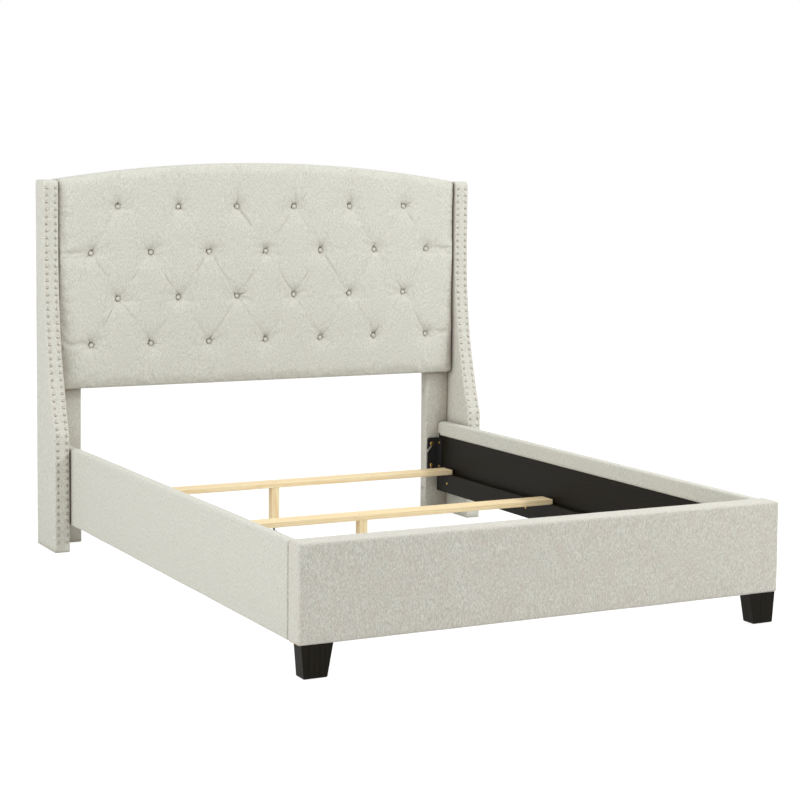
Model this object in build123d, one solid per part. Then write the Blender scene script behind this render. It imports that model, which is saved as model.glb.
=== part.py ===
from build123d import *
from math import atan, atan2, cos, degrees, hypot, pi, radians, sin, sqrt, tan
import os

# A wingback bed in millimetres. +X runs across the bed, +Y from the foot to the headboard
# and +Z up. The origin lies on the floor under the middle of the whole bed.
# Every piece with a twin is modelled on the right, at +X, and mirrored to the left.

# Bay for the mattress, between the rails and between the footboard and the legs
bay_width = 1568.0
bay_length = 2076.0

# Heights above the floor
glide_height = 3.0
frame_bottom = 98.0
rail_top = 378.0
footboard_top = 383.0
panel_bottom = 582.0
panel_crown_top = 1423.0

# Upholstery: the woven cover, and the foam under it on the rails and the footboard
cover = 3.0
foam = 8.0

# Side rails
rail_board_thickness = 22.0
rail_corner_radius = 22.0
rail_edge_radius = 9.0
rail_strip_height = 54.0
rail_underlap = 28.0

# Ledgers that carry the slats
ledger_thickness = 23.0
ledger_height = 76.0
ledger_lift = 4.0
ledger_end_gap = 2.0
ledger_screw_count = 4
ledger_screw_inset = 85.0

# Hook brackets between the rails and the legs or the footboard
bracket_thickness = 4.0
bracket_width = 50.0
bracket_reach = 34.0
bracket_height = 136.0
bracket_drop = 12.0
bracket_bend_radius = 5.0
bracket_corner_radius = 9.0
bracket_screw_inset = 20.0
notch_play = 0.75
notch_drop = 9.0
notch_slant = 50.0

# Headed pins that the brackets hook over
pin_radius = 4.0
pin_setback = 32.0
pin_inset = 24.0
pin_depth = 33.0
pin_head_radius = 8.0
pin_head_height = 3.5

# Small screws, the play round any shank in its hole, and the flats round a fastener
screw_radius = 2.2
screw_head_radius = 4.6
screw_head_height = 2.0
screw_bite = 15.0
shank_play = 0.15
fastener_sides = 6

# Footboard
footboard_board = 15.0
footboard_frame_depth = 35.0
footboard_rail_height = 36.0
footboard_upright_width = 45.0
footboard_upright_count = 4
footboard_edge_radius = 9.0

# Front feet and the bolts that hold them
foot_top_width = 98.0
foot_depth = 50.0
foot_inset = 8.0
foot_setback = 3.0
foot_outer_taper = 8.0
foot_inner_taper = 18.0
foot_ease = 2.0
hanger_radius = 4.0
hanger_bite = 33.0
glide_radius = 12.0
glide_sides = 8

# Headboard legs and panel
panel_rise = 66.0
post_width = 90.0
post_depth = 40.0
panel_gap = 3.0
plywood = 12.0
cushion_depth = 33.0
cushion_seam = 3.0
sleeve_gap = 3.0
panel_rail_height = 70.0
top_rail_height = 67.0
stud_width = 60.0
stud_spacing = 490.0
back_cloth = 1.0

# Tufting: rows of covered buttons, alternately short and long, and the creases between them
tuft_row_count = 4
tuft_top_margin = 167.0
tuft_bottom_margin = 161.0
short_row_count = 6
short_row_margin = 228.5
long_row_count = 7
long_row_margin = 124.0
tuft_depth = 13.0
tuft_radius = 38.0
tuft_sides = 12
crease_depth = 3.5
crease_width = 20.0
button_radius = 11.5
button_height = 6.0
button_rim = 2.0
button_play = 0.2
button_crown_radius = 6.5
button_sides = 8

# Wings
wing_drop = 2.0
rail_gap = 9.0
wing_thickness = 58.0
wing_top_depth = 97.0
wing_foot_depth = 217.0
sweep_top = 1080.0
sweep_foot = 415.0
heel_radius = 80.0
wing_corner_radius = 16.0
wing_edge_radius = 7.0
wing_board = 12.0
wing_ring_width = 30.0
wing_glide_inset = 40.0

# Nailheads down the wings' front edges
nail_radius = 5.5
nail_crown_radius = 3.0
nail_height = 2.6
nail_pitch = 26.0
nail_inset = 12.0
nail_seat = 0.1
nail_sides = 6

# Bolts through the legs into the wings
wing_bolt_radius = 4.0
wing_bolt_head_radius = 8.0
wing_bolt_head_height = 4.0
wing_bolt_low = 104.0
wing_bolt_mid_drop = 82.0
wing_bolt_high_drop = 205.0
wing_bolt_setback = 16.0

# Slats, the first nearest the headboard, with their centre legs and levelling feet
slat_count = 3
slat_width = 74.0
slat_thickness = 19.0
slat_end_gap = 12.0
slat_ease = 1.5
slat_pitch = 760.0
slat_head_gap = 107.0
centre_leg_width = 30.0
centre_leg_depth = 32.0
centre_leg_setback = 2.0
leg_screw_length = 60.0
leg_screw_spacing = 14.0
leveller_base_radius = 14.0
leveller_base_height = 8.0
leveller_waist_radius = 11.0
leveller_stem_radius = 4.0
leveller_stem_length = 37.0
leveller_travel = 10.0
leveller_clearance = 2.4
insert_flange_radius = 11.0
insert_flange = 1.6
insert_radius = 5.4
insert_depth = 11.0
thread_play = 0.08

# How far a cutting shape runs past what it cuts
overrun = 1.0

# Places worked out from the sizes above
rail_thickness = cover + rail_board_thickness + foam + cover
footboard_depth = cover + foam + 2 * footboard_board + footboard_frame_depth + cover
leg_depth = cover + post_depth + cover
overall_length = footboard_depth + bay_length + leg_depth
bed_front = -overall_length / 2
bay_foot = bed_front + footboard_depth
bay_head = bay_foot + bay_length
bay_middle = (bay_foot + bay_head) / 2
bed_back = bay_head + leg_depth

rail_inner = bay_width / 2
rail_outer = rail_inner + rail_thickness
board_face = rail_inner + cover
foam_face = board_face + rail_board_thickness
strip_bottom = rail_top - rail_strip_height
ledger_bottom = frame_bottom + ledger_lift
ledger_top = ledger_bottom + ledger_height
ledger_inner = board_face - ledger_thickness

bracket_top = strip_bottom - bracket_drop
bracket_bottom = bracket_top - bracket_height
pin_x = board_face - pin_setback
notch_width = 2 * (pin_radius + notch_play)
pin_heights = (bracket_bottom + pin_inset, bracket_top - pin_inset)
bracket_screw_heights = (bracket_bottom + bracket_screw_inset, bracket_top - bracket_screw_inset)

wing_inner = rail_outer + rail_gap
wing_outer = wing_inner + wing_thickness
wing_middle = (wing_inner + wing_outer) / 2
wing_front_top = bed_back - wing_top_depth
wing_front_foot = bed_back - wing_foot_depth

panel_half = wing_inner - panel_gap
post_outer = panel_half - cover
post_inner = post_outer - post_width
post_middle = (post_inner + post_outer) / 2
post_front = bay_head + cover
post_back = post_front + post_depth
plywood_front = post_front - plywood
panel_front = plywood_front - cushion_depth
panel_side_top = panel_crown_top - panel_rise
arch_radius = (panel_half**2 + panel_rise**2) / (2 * panel_rise)
arch_centre = panel_crown_top - arch_radius
cushion_edge_radius = cushion_depth - cushion_seam
top_rail_bottom = panel_side_top - top_rail_height
tuft_top = panel_crown_top - tuft_top_margin
tuft_row_pitch = (tuft_top - tuft_bottom_margin - panel_bottom) / (tuft_row_count - 1)
short_row_pitch = 2 * (panel_half - short_row_margin) / (short_row_count - 1)
long_row_pitch = 2 * (panel_half - long_row_margin) / (long_row_count - 1)

wing_top = panel_side_top - wing_drop
wing_bolt_y = bed_back - wing_bolt_setback
wing_bolt_heights = (
    wing_bolt_low, panel_bottom - wing_bolt_mid_drop, wing_top - wing_bolt_high_drop
)

# The sweep of the wing's front edge is two arcs that meet at a tangent
sweep_turn = 2 * atan((wing_foot_depth - wing_top_depth) / (sweep_top - sweep_foot))
sweep_radius = (sweep_top - sweep_foot) / sin(sweep_turn) - heel_radius

foot_outer = rail_outer - foot_inset
foot_front = bed_front + foot_setback
foot_middle = (foot_outer - foot_outer_taper + foot_outer - foot_top_width + foot_inner_taper) / 2
footboard_frame_front = bed_front + cover + foam + footboard_board
footboard_frame_back = footboard_frame_front + footboard_frame_depth
hanger_y = (footboard_frame_front + foot_front + foot_depth) / 2

slat_bottom = ledger_top
slat_top = slat_bottom + slat_thickness
slat_half = board_face - slat_end_gap
leveller_top = leveller_base_height + leveller_stem_length
centre_leg_foot = leveller_base_height + leveller_travel + leveller_clearance + insert_flange


# Small helpers


def block(x, y, z):
    """A box between a low and a high value on each axis."""
    sizes = (x[1] - x[0], y[1] - y[0], z[1] - z[0])
    return Pos(x[0], y[0], z[0]) * Box(*sizes, align=(Align.MIN, Align.MIN, Align.MIN))


def crown(start, direction, radii, height, sides=fastener_sides):
    """A straight bar of flat faces, whose radius may change evenly along its height."""
    place = Plane(origin=start, z_dir=direction)
    spokes = [(cos(2 * pi * i / sides), sin(2 * pi * i / sides)) for i in range(sides)]
    low, high = [
        [place.from_local_coords((radius * x, radius * y, level)) for x, y in spokes]
        for radius, level in zip(radii, (0, height))
    ]
    walls = [[low[i - 1], low[i], high[i], high[i - 1]] for i in range(sides)]
    return Solid(Shell([Face(Wire.make_polygon(corners)) for corners in [low, high, *walls]]))


def bar(start, direction, radius, length, sides=fastener_sides):
    """A straight bar with flats all round, from a point along a direction."""
    return crown(start, direction, (radius, radius), length, sides)


def fastener(seat, direction, head, shank):
    """A headed fastener: its flat head stands on the seat, its shank runs in along direction.

    head is the radius and height of the head, shank the radius and length of the shank."""
    outward = -Vector(*direction)
    cap = crown(seat, outward, (head[0], head[0] - head[1] / 2), head[1])
    return cap + bar(seat, direction, shank[0], shank[1])


def hole(seat, direction, shank):
    """The hole for a fastener's shank, with its play, open at the seat."""
    inward = Vector(*direction)
    start = Vector(*seat) - inward * overrun
    return bar(start, direction, shank[0] + shank_play, shank[1] + overrun + shank_play)


def bevelled(rims, radius):
    """Rims cut back by a flat that would touch a round of this radius."""
    return chamfer(rims, radius * (2 - sqrt(2)))


def left(shape):
    """The left-hand twin of a right-hand shape."""
    return mirror(shape, about=Plane.YZ)


def at_foot(shape):
    """The shape at the foot end of the bay that matches one at its head end."""
    return mirror(shape, about=Plane.XZ.offset(-bay_middle))


def write(node, shapes):
    """Writes one node as a STEP file, from one solid or a list of separate solids."""
    shapes = shapes if isinstance(shapes, list) else [shapes]
    solids = [solid for shape in shapes for solid in shape.solids()]
    whole = solids[0] if len(solids) == 1 else Compound(children=solids)
    export_step(whole, f"parts/{node}.step")


def write_pair(node, shapes):
    """Writes the right-hand node and its mirrored left-hand twin."""
    shapes = shapes if isinstance(shapes, list) else [shapes]
    write(f"right_{node}", shapes)
    write(f"left_{node}", [left(shape) for shape in shapes])


# Places of the fasteners on the right-hand side, as seat, direction, head and shank


def bracket_screws():
    """Two screws hold each bracket to the rail's board, at the head and at the foot."""
    y_places = (bay_head - bracket_reach / 2, bay_foot + bracket_reach / 2)
    head = (screw_head_radius, screw_head_height)
    shank = (screw_radius, bracket_thickness + screw_bite)
    seat_x = board_face - bracket_thickness
    return [
        ((seat_x, y, z), (1, 0, 0), head, shank) for y in y_places for z in bracket_screw_heights
    ]


def ledger_screws():
    """Evenly spaced screws hold the ledger to the rail's board."""
    first = ledger_span()[0] + ledger_screw_inset
    step = (ledger_span()[1] - ledger_screw_inset - first) / (ledger_screw_count - 1)
    head = (screw_head_radius, screw_head_height)
    shank = (screw_radius, ledger_thickness + screw_bite)
    z = (ledger_bottom + ledger_top) / 2
    return [
        ((ledger_inner, first + i * step, z), (1, 0, 0), head, shank)
        for i in range(ledger_screw_count)
    ]


def hook_pins(end):
    """Two headed pins stand out of the leg (end 1) or the footboard (end -1)."""
    face = (bay_head if end > 0 else bay_foot) - end * bracket_thickness
    head = (pin_head_radius, pin_head_height)
    shank = (pin_radius, bracket_thickness + pin_depth)
    return [((pin_x, face, z), (0, end, 0), head, shank) for z in pin_heights]


def wing_bolts():
    """Three bolts run outwards through the leg into the wing."""
    head = (wing_bolt_head_radius, wing_bolt_head_height)
    bolts = []
    for z in wing_bolt_heights:
        seat_x = post_inner - (cover if z < panel_bottom else 0)
        shank = (wing_bolt_radius, wing_inner + cover + wing_board - seat_x)
        bolts.append(((seat_x, wing_bolt_y, z), (1, 0, 0), head, shank))
    return bolts


def drilled(piece, places):
    """A piece with the holes for a list of fasteners."""
    return piece - [hole(seat, direction, shank) for seat, direction, head, shank in places]


def drilled_twice(piece, places):
    """A piece across the bed, with the holes for its right-hand fasteners and their twins."""
    return left(drilled(left(drilled(piece, places)), places))


# Headboard panel


def panel_block(inset, front, back):
    """The panel's arched outline, drawn in by inset, as a slab from front to back."""
    half = panel_half - inset
    radius = arch_radius - inset
    bottom = panel_bottom + inset
    side = arch_centre + sqrt(radius**2 - half**2)
    outline = [
        Line((-half, side), (-half, bottom)),
        Line((-half, bottom), (half, bottom)),
        Line((half, bottom), (half, side)),
        ThreePointArc((half, side), (0, arch_centre + radius), (-half, side)),
    ]
    return extrude(Plane.XZ.offset(-back) * make_face(outline), amount=back - front)


def tuft_rows():
    """The buttons' places in X and Z, row by row from the top, short and long in turn."""
    rows = []
    for row in range(tuft_row_count):
        count = long_row_count if row % 2 else short_row_count
        pitch = long_row_pitch if row % 2 else short_row_pitch
        z = tuft_top - row * tuft_row_pitch
        rows.append([((i - (count - 1) / 2) * pitch, z) for i in range(count)])
    return rows


def crease(start, end):
    """A V-shaped groove in the cushion's face, from one button to a neighbour."""
    run = Vector(end[0] - start[0], 0, end[1] - start[1])
    across = Vector(-run.Z, 0, run.X)
    half = crease_width / 2 * (crease_depth + overrun) / crease_depth
    section = make_face(
        Polyline((-half, overrun), (half, overrun), (0, -crease_depth), close=True)
    )
    base = Plane(origin=(start[0], panel_front, start[1]), x_dir=across, z_dir=run)
    return extrude(base * section, amount=run.length)


def edge_tucks(rows):
    """Grooves that carry the cover's fullness from the outer buttons of a long row to the sides."""
    ends = [(row[0], -panel_half) for row in rows[1::2]] + [(row[-1], panel_half) for row in rows[1::2]]
    return [crease(button, (side, button[1])) for button, side in ends]


def tufted_cushion():
    """The front cushion: crowned over its edges and drawn back at every button."""
    cushion = panel_block(0, panel_front, plywood_front)
    front_edges = cushion.faces().sort_by(Axis.Y)[0].edges()
    cushion = fillet(front_edges, cushion_edge_radius)
    floor = (button_radius + button_play) / cos(pi / tuft_sides)
    mouth = tuft_radius + (tuft_radius - floor) / tuft_depth * overrun
    radii = (mouth, floor)
    rows = tuft_rows()
    cuts = [
        crown((x, panel_front - overrun, z), (0, 1, 0), radii, tuft_depth + overrun, tuft_sides)
        for row in rows for x, z in row
    ]
    for upper, lower in zip(rows, rows[1:]):
        reach = short_row_pitch
        cuts += [crease(a, b) for a in upper for b in lower if abs(a[0] - b[0]) < reach]
    return cushion - cuts - edge_tucks(rows)


def tuft_buttons():
    """One covered button sits on the floor of each dimple: a short rim under a low crown."""
    seat, brow = panel_front + tuft_depth, panel_front + tuft_depth - button_rim
    radii = (button_radius, button_crown_radius)
    rise = button_height - button_rim
    return [
        bar((x, seat, z), (0, -1, 0), button_radius, button_rim, button_sides)
        + crown((x, brow, z), (0, -1, 0), radii, rise, button_sides)
        for row in tuft_rows() for x, z in row
    ]


def side_band():
    """The cover's band round the panel's edge, open where the posts and their bolts pass."""
    band = panel_block(0, plywood_front, bed_back) - panel_block(cover, plywood_front, bed_back)
    low, high = panel_bottom - overrun, panel_bottom + cover + overrun
    doorway = block((post_inner, post_outer), (post_front, post_back), (low, high))
    return drilled_twice(band - doorway - left(doorway), wing_bolts())


def top_rail():
    """The arched timber across the top of the frame."""
    floor = (top_rail_bottom, panel_crown_top)
    slab = block((-post_outer, post_outer), (post_front, post_back), floor)
    return panel_block(cover, post_front, post_back) & slab


def bottom_rail():
    """The straight timber between the posts at the bottom of the panel."""
    low = panel_bottom + cover
    return block(
        (-post_inner, post_inner), (post_front, post_back), (low, low + panel_rail_height)
    )


def studs():
    """Two upright timbers between the bottom and the top rail."""
    low = panel_bottom + cover + panel_rail_height
    middle = stud_spacing / 2
    half = stud_width / 2
    stud = block((middle - half, middle + half), (post_front, post_back), (low, top_rail_bottom))
    return [stud, left(stud)]


# Legs of the headboard


def leg_post():
    """A timber post from the floor glide up to the top rail."""
    post = block(
        (post_inner, post_outer), (post_front, post_back), (glide_height, top_rail_bottom)
    )
    return drilled(post, hook_pins(1) + wing_bolts())


def leg_cover():
    """The covered sleeve of the post below the panel."""
    height = (glide_height, panel_bottom - sleeve_gap)
    sleeve = block((post_inner - cover, wing_inner), (bay_head, bed_back), height)
    core = block((post_inner, post_outer), (post_front, post_back), height)
    return drilled(sleeve - core, hook_pins(1) + wing_bolts())


# Wings


def on_sweep(angle, inset):
    """A point of the wing's long hollow arc, measured down from its top, as Y and Z."""
    radius = sweep_radius + inset
    return (wing_front_top - sweep_radius + radius * cos(angle), sweep_top - radius * sin(angle))


def on_heel(angle, inset):
    """A point of the short round arc that brings the sweep back to upright."""
    radius = heel_radius - inset
    return (wing_front_foot + heel_radius - radius * cos(angle), sweep_foot + radius * sin(angle))


def wing_block(inset, sides, bottom, corner):
    """The wing's outline, drawn in by inset, as a slab between two values of X."""
    back, top = bed_back - inset, wing_top - inset
    front_top, front_foot = wing_front_top + inset, wing_front_foot + inset
    joint = on_sweep(sweep_turn, inset)
    outline = make_face([
        Line((back, bottom), (back, top)),
        Line((back, top), (front_top, top)),
        Line((front_top, top), (front_top, sweep_top)),
        ThreePointArc((front_top, sweep_top), on_sweep(sweep_turn / 2, inset), joint),
        ThreePointArc(joint, on_heel(sweep_turn / 2, inset), (front_foot, sweep_foot)),
        Line((front_foot, sweep_foot), (front_foot, bottom)),
        Line((front_foot, bottom), (back, bottom)),
    ])
    if corner > 0:
        outline = fillet(outline.vertices().group_by(Axis.Y)[-1], corner)
    return extrude(Plane.YZ.offset(sides[0]) * outline, amount=sides[1] - sides[0])


def wing_body():
    """The upholstered wing's outside, with its rims bevelled all round."""
    sides = (wing_inner, wing_outer)
    body = wing_block(0, sides, glide_height, wing_corner_radius)
    rims = body.edges().filter_by(Axis.X, reverse=True).sort_by(Axis.Z)[2:]
    return bevelled(rims, wing_edge_radius)


def wing_layer(low, high):
    """One square-edged layer of the wing's core, between two depths from its inner face."""
    sides = (wing_inner + low, wing_inner + high)
    return wing_block(cover, sides, glide_height, wing_corner_radius - cover)


def wing_cover():
    """The wing's cover, a sleeve that is open at the floor."""
    return drilled(wing_body() - wing_layer(cover, wing_thickness - cover), wing_bolts())


def wing_inner_board():
    """The board that the leg's bolts reach."""
    return drilled(wing_layer(cover, cover + wing_board), wing_bolts())


def wing_outer_board():
    """The board on the wing's outer side."""
    return wing_layer(wing_thickness - cover - wing_board, wing_thickness - cover)


def wing_ring():
    """The timber ring that keeps the boards apart and takes the nailheads."""
    low, high = cover + wing_board, wing_thickness - cover - wing_board
    inside = wing_block(
        cover + wing_ring_width,
        (wing_inner + low, wing_inner + high),
        glide_height + wing_ring_width,
        0,
    )
    return wing_layer(low, high) - inside


def nail_places():
    """Points down the wing's front edge, one pitch apart, each with the way it faces."""
    top_run = wing_top - wing_corner_radius - sweep_top
    sweep_run = sweep_radius * sweep_turn
    heel_run = heel_radius * sweep_turn
    whole = top_run + sweep_run + heel_run + sweep_foot - glide_height
    places = []
    for i in range(int((whole - nail_radius) / nail_pitch)):
        along = (i + 1 / 2) * nail_pitch
        if along < top_run:
            angle, point = 0, (wing_front_top, sweep_top + top_run - along)
        elif along < top_run + sweep_run:
            angle = (along - top_run) / sweep_radius
            point = on_sweep(angle, 0)
        elif along < top_run + sweep_run + heel_run:
            angle = sweep_turn - (along - top_run - sweep_run) / heel_radius
            point = on_heel(angle, 0)
        else:
            angle = 0
            point = (wing_front_foot, sweep_foot - (along - top_run - sweep_run - heel_run))
        places.append((point, (-cos(angle), sin(angle))))
    return places


def nailheads(side):
    """Two rows of low faceted nailheads down the front edge of the wing on one side."""
    radii = (nail_radius, nail_crown_radius)
    nail = crown((0, 0, nail_seat), (0, 0, 1), radii, nail_height - nail_seat, nail_sides)
    return [
        Plane(origin=(side * x, *point), z_dir=(0, *facing)) * nail
        for x in (wing_inner + nail_inset, wing_outer - nail_inset)
        for point, facing in nail_places()
    ]


# Side rails


def rail_block(inset):
    """The rail's envelope, drawn in by inset, rounded over the top and down the head end."""
    foot, head = bay_foot + inset, bay_head - inset
    low, high = frame_bottom + inset, rail_top - inset
    side = make_face(Polyline((foot, low), (head, low), (head, high), (foot, high), close=True))
    corner = side.vertices().group_by(Axis.Y)[-1].sort_by(Axis.X)[-1]
    side = fillet(corner, rail_corner_radius - inset)
    span = rail_thickness - 2 * inset
    envelope = extrude(Plane.YZ.offset(rail_inner + inset) * side, amount=span)
    rims = envelope.edges().filter_by(Axis.X, reverse=True).sort_by(Axis.Z)[2:]
    return bevelled(rims.sort_by(Axis.Y)[2:], rail_edge_radius - inset)


def rail_layer(low, high):
    """One layer of the rail's core, between two values of X."""
    return rail_block(cover) & block((low, high), (bay_foot, bay_head), (frame_bottom, rail_top))


def rail_cover():
    """The cover over the rail's outside and top, with a strip down its inside."""
    run = (bay_foot, bay_head)
    bare_inside = block((rail_inner, board_face), run, (frame_bottom, strip_bottom))
    underside = (frame_bottom, frame_bottom + cover)
    bare_underside = block((rail_inner, rail_outer - rail_underlap), run, underside)
    return rail_block(0) - rail_block(cover) - bare_inside - bare_underside


def rail_board():
    """The black board inside the rail, bare towards the mattress."""
    return drilled(rail_layer(board_face, foam_face), bracket_screws() + ledger_screws())


def rail_foam():
    """The foam between the rail's board and its cover."""
    return rail_layer(foam_face, rail_outer - cover)


def ledger_span():
    """The ledger's two ends in Y, clear of the brackets."""
    short = bracket_reach + ledger_end_gap
    return (bay_foot + short, bay_head - short)


def ledger():
    """The black batten that the slats lie on."""
    batten = block((ledger_inner, board_face), ledger_span(), (ledger_bottom, ledger_top))
    return drilled(batten, ledger_screws())


def slot(start, end):
    """A round-ended slot of the notch's width between two points of a sketch."""
    run = (end[0] - start[0], end[1] - start[1])
    middle = ((start[0] + end[0]) / 2, (start[1] + end[1]) / 2)
    angle = degrees(atan2(run[1], run[0]))
    return Pos(*middle) * SlotCenterToCenter(hypot(*run), notch_width, rotation=angle)


def notch(height):
    """A hook's open notch: in from the free edge on a slant, then straight up to its seat."""
    seat = (pin_x, height)
    elbow = (pin_x, height - notch_drop)
    run = pin_x - (board_face - bracket_width) + notch_width
    mouth = (pin_x - run, elbow[1] - run * tan(radians(notch_slant)))
    return slot(elbow, seat) + slot(mouth, elbow)


def hook_bracket():
    """The right head bracket: a bent plate with two notches that hang on the leg's pins."""
    edge = board_face - bracket_width
    plan = Polyline(
        (board_face, bay_head - bracket_reach),
        (board_face, bay_head),
        (edge, bay_head),
        (edge, bay_head - bracket_thickness),
        (board_face - bracket_thickness, bay_head - bracket_thickness),
        (board_face - bracket_thickness, bay_head - bracket_reach),
        close=True,
    )
    plate = extrude(Plane.XY.offset(bracket_bottom) * make_face(plan), amount=bracket_height)
    bend = plate.edges().filter_by(Axis.Z).group_by(Axis.Y)[-1].sort_by(Axis.X)[-1]
    plate = fillet(bend, bracket_bend_radius)
    free = plate.edges().filter_by(Axis.Y).group_by(Axis.X)[0]
    free += plate.edges().filter_by(Axis.X).group_by(Axis.Y)[0]
    plate = fillet(free, bracket_corner_radius)
    notches = notch(pin_heights[0]) + notch(pin_heights[1])
    cut = extrude(Plane.XZ.offset(-bay_head) * notches, amount=bracket_thickness)
    return drilled(plate - cut, bracket_screws())


# Footboard


def footboard_block(inset):
    """The footboard's rounded envelope, drawn in by inset but open at its underside."""
    envelope = block(
        (inset - rail_outer, rail_outer - inset),
        (bed_front + inset, bay_foot - inset),
        (frame_bottom, footboard_top - inset),
    )
    rims = envelope.edges().sort_by(Axis.Z)[4:]
    return bevelled(rims, footboard_edge_radius - inset)


def footboard_layer(front, back):
    """One layer of the footboard's core, between two values of Y."""
    across = (-rail_outer, rail_outer)
    return footboard_block(cover) & block(across, (front, back), (frame_bottom, footboard_top))


def footboard_cover():
    """The footboard's cover, stapled under the frame."""
    return drilled_twice(footboard_block(0) - footboard_block(cover), hook_pins(-1))


def footboard_front_board():
    """The board behind the front foam."""
    front = bed_front + cover + foam
    return footboard_layer(front, front + footboard_board)


def footboard_back_board():
    """The board towards the mattress, which the pins go through."""
    return drilled_twice(footboard_layer(footboard_frame_back, bay_foot - cover), hook_pins(-1))


def footboard_frame():
    """A top and a bottom timber with uprights between them, the outer ones at the pins."""
    depth = (footboard_frame_front, footboard_frame_back)
    low = frame_bottom + footboard_rail_height
    high = footboard_top - cover - footboard_rail_height
    layer = footboard_layer(*depth)
    across = (-rail_outer, rail_outer)
    timbers = [
        layer & block(across, depth, (frame_bottom, low)),
        layer & block(across, depth, (high, footboard_top)),
    ]
    half = footboard_upright_width / 2
    for i in range(footboard_upright_count):
        x = pin_x * (2 * i / (footboard_upright_count - 1) - 1)
        timbers.append(block((x - half, x + half), depth, (low, high)))
    bolts = [hanger_hole(), left(hanger_hole())]
    return [drilled_twice(timber - bolts, hook_pins(-1)) for timber in timbers]


# Front feet


def hanger_hole():
    """The hole for a foot's bolt, from inside the foot up into the frame."""
    start = (foot_middle, hanger_y, frame_bottom - hanger_bite - shank_play)
    return bar(start, (0, 0, 1), hanger_radius + shank_play, 2 * (hanger_bite + shank_play))


def hanger_bolt():
    """The bolt that joins a foot to the frame."""
    low = (foot_middle, hanger_y, frame_bottom - hanger_bite)
    return bar(low, (0, 0, 1), hanger_radius, 2 * hanger_bite)


def front_foot():
    """A block foot, tapered on both sides and upright in front."""
    depth = (foot_front, foot_front + foot_depth)
    inner = foot_outer - foot_top_width
    corners = [
        (inner + foot_inner_taper, glide_height),
        (foot_outer - foot_outer_taper, glide_height),
        (foot_outer, frame_bottom),
        (inner, frame_bottom),
    ]
    face = make_face(Polyline(*corners, close=True))
    foot = extrude(Plane.XZ.offset(-depth[1]) * face, amount=foot_depth)
    foot = chamfer(foot.edges().group_by(Axis.Z)[0], foot_ease)
    return foot - hanger_hole()


def floor_glides():
    """Round glides under the front feet, the headboard's legs and the wings."""
    places = [
        (foot_middle, foot_front + foot_depth / 2),
        (post_middle, (post_front + post_back) / 2),
        (wing_middle, bed_back - wing_glide_inset),
        (wing_middle, wing_front_foot + wing_glide_inset),
    ]
    glides = [
        bar((x, y, 0), (0, 0, 1), glide_radius, glide_height, glide_sides) for x, y in places
    ]
    return glides + [left(glide) for glide in glides]


# Slats


def slat_front(number):
    """The Y of a slat's edge towards the foot."""
    return bay_head - slat_head_gap - number * slat_pitch - slat_width / 2


def leg_centre(number):
    """The Y of a centre leg's middle."""
    return slat_front(number) + centre_leg_setback + centre_leg_depth / 2


def leg_screws(number):
    """Two screws through the slat into the end of its leg, their heads set flush."""
    y = leg_centre(number)
    half = leg_screw_spacing / 2
    seat = slat_top - screw_head_height
    head = (screw_head_radius, screw_head_height)
    shank = (screw_radius, leg_screw_length)
    return [((x, y, seat), (0, 0, -1), head, shank) for x in (-half, half)]


def slat(number):
    """A loose pine slat with eased edges."""
    front = slat_front(number)
    board = block((-slat_half, slat_half), (front, front + slat_width), (slat_bottom, slat_top))
    board = chamfer(board.edges().filter_by(Axis.X), slat_ease)
    recess = screw_head_radius + shank_play
    recesses = [
        bar(seat, (0, 0, 1), recess, screw_head_height + overrun)
        for seat, direction, head, shank in leg_screws(number)
    ]
    return drilled(board - recesses, leg_screws(number))


def centre_leg(number):
    """The pine post under the middle of a slat, bored for its levelling foot."""
    y = leg_centre(number)
    half, deep = centre_leg_width / 2, centre_leg_depth / 2
    post = block((-half, half), (y - deep, y + deep), (centre_leg_foot, slat_bottom))
    low = (0, y, centre_leg_foot - overrun)
    socket = bar(low, (0, 0, 1), insert_radius, insert_depth + overrun)
    top = leveller_top + leveller_travel + overrun
    bore = bar(low, (0, 0, 1), leveller_stem_radius + shank_play, top - centre_leg_foot + overrun)
    return drilled(post - socket - bore, leg_screws(number))


def threaded_insert(number):
    """The flanged nut pressed into the foot of a leg."""
    seat = (0, leg_centre(number), centre_leg_foot)
    flange = bar(seat, (0, 0, -1), insert_flange_radius, insert_flange)
    barrel = bar(seat, (0, 0, 1), insert_radius, insert_depth)
    low = (0, leg_centre(number), centre_leg_foot - insert_flange - overrun)
    length = insert_flange + insert_depth + 2 * overrun
    return flange + barrel - bar(low, (0, 0, 1), leveller_stem_radius + thread_play, length)


def leveller(number):
    """The levelling foot that screws up into its leg."""
    y = leg_centre(number)
    radii = (leveller_base_radius, leveller_waist_radius)
    base = crown((0, y, 0), (0, 0, 1), radii, leveller_base_height)
    return base + bar((0, y, 0), (0, 0, 1), leveller_stem_radius, leveller_top)


# Writing the nodes


def write_headboard():
    """The panel, its frame and its legs."""
    write("tufted_cushion", tufted_cushion())
    write("tuft_buttons", tuft_buttons())
    write("headboard_side_band", side_band())
    write("headboard_plywood", panel_block(cover, plywood_front, post_front))
    write("headboard_top_rail", top_rail())
    write("headboard_bottom_rail", bottom_rail())
    write("headboard_studs", studs())
    write("headboard_back_cloth", panel_block(cover, post_back, post_back + back_cloth))
    write_pair("leg_post", leg_post())
    write_pair("leg_cover", leg_cover())


def write_wings():
    """The two wings, with their nailheads and bolts."""
    write_pair("wing_cover", wing_cover())
    write_pair("wing_inner_board", wing_inner_board())
    write_pair("wing_outer_board", wing_outer_board())
    write_pair("wing_ring", wing_ring())
    write("right_wing_nailheads", nailheads(1))
    write("left_wing_nailheads", nailheads(-1))
    bolts = [fastener(*place) for place in wing_bolts()]
    write("wing_bolts", bolts + [left(bolt) for bolt in bolts])


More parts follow.
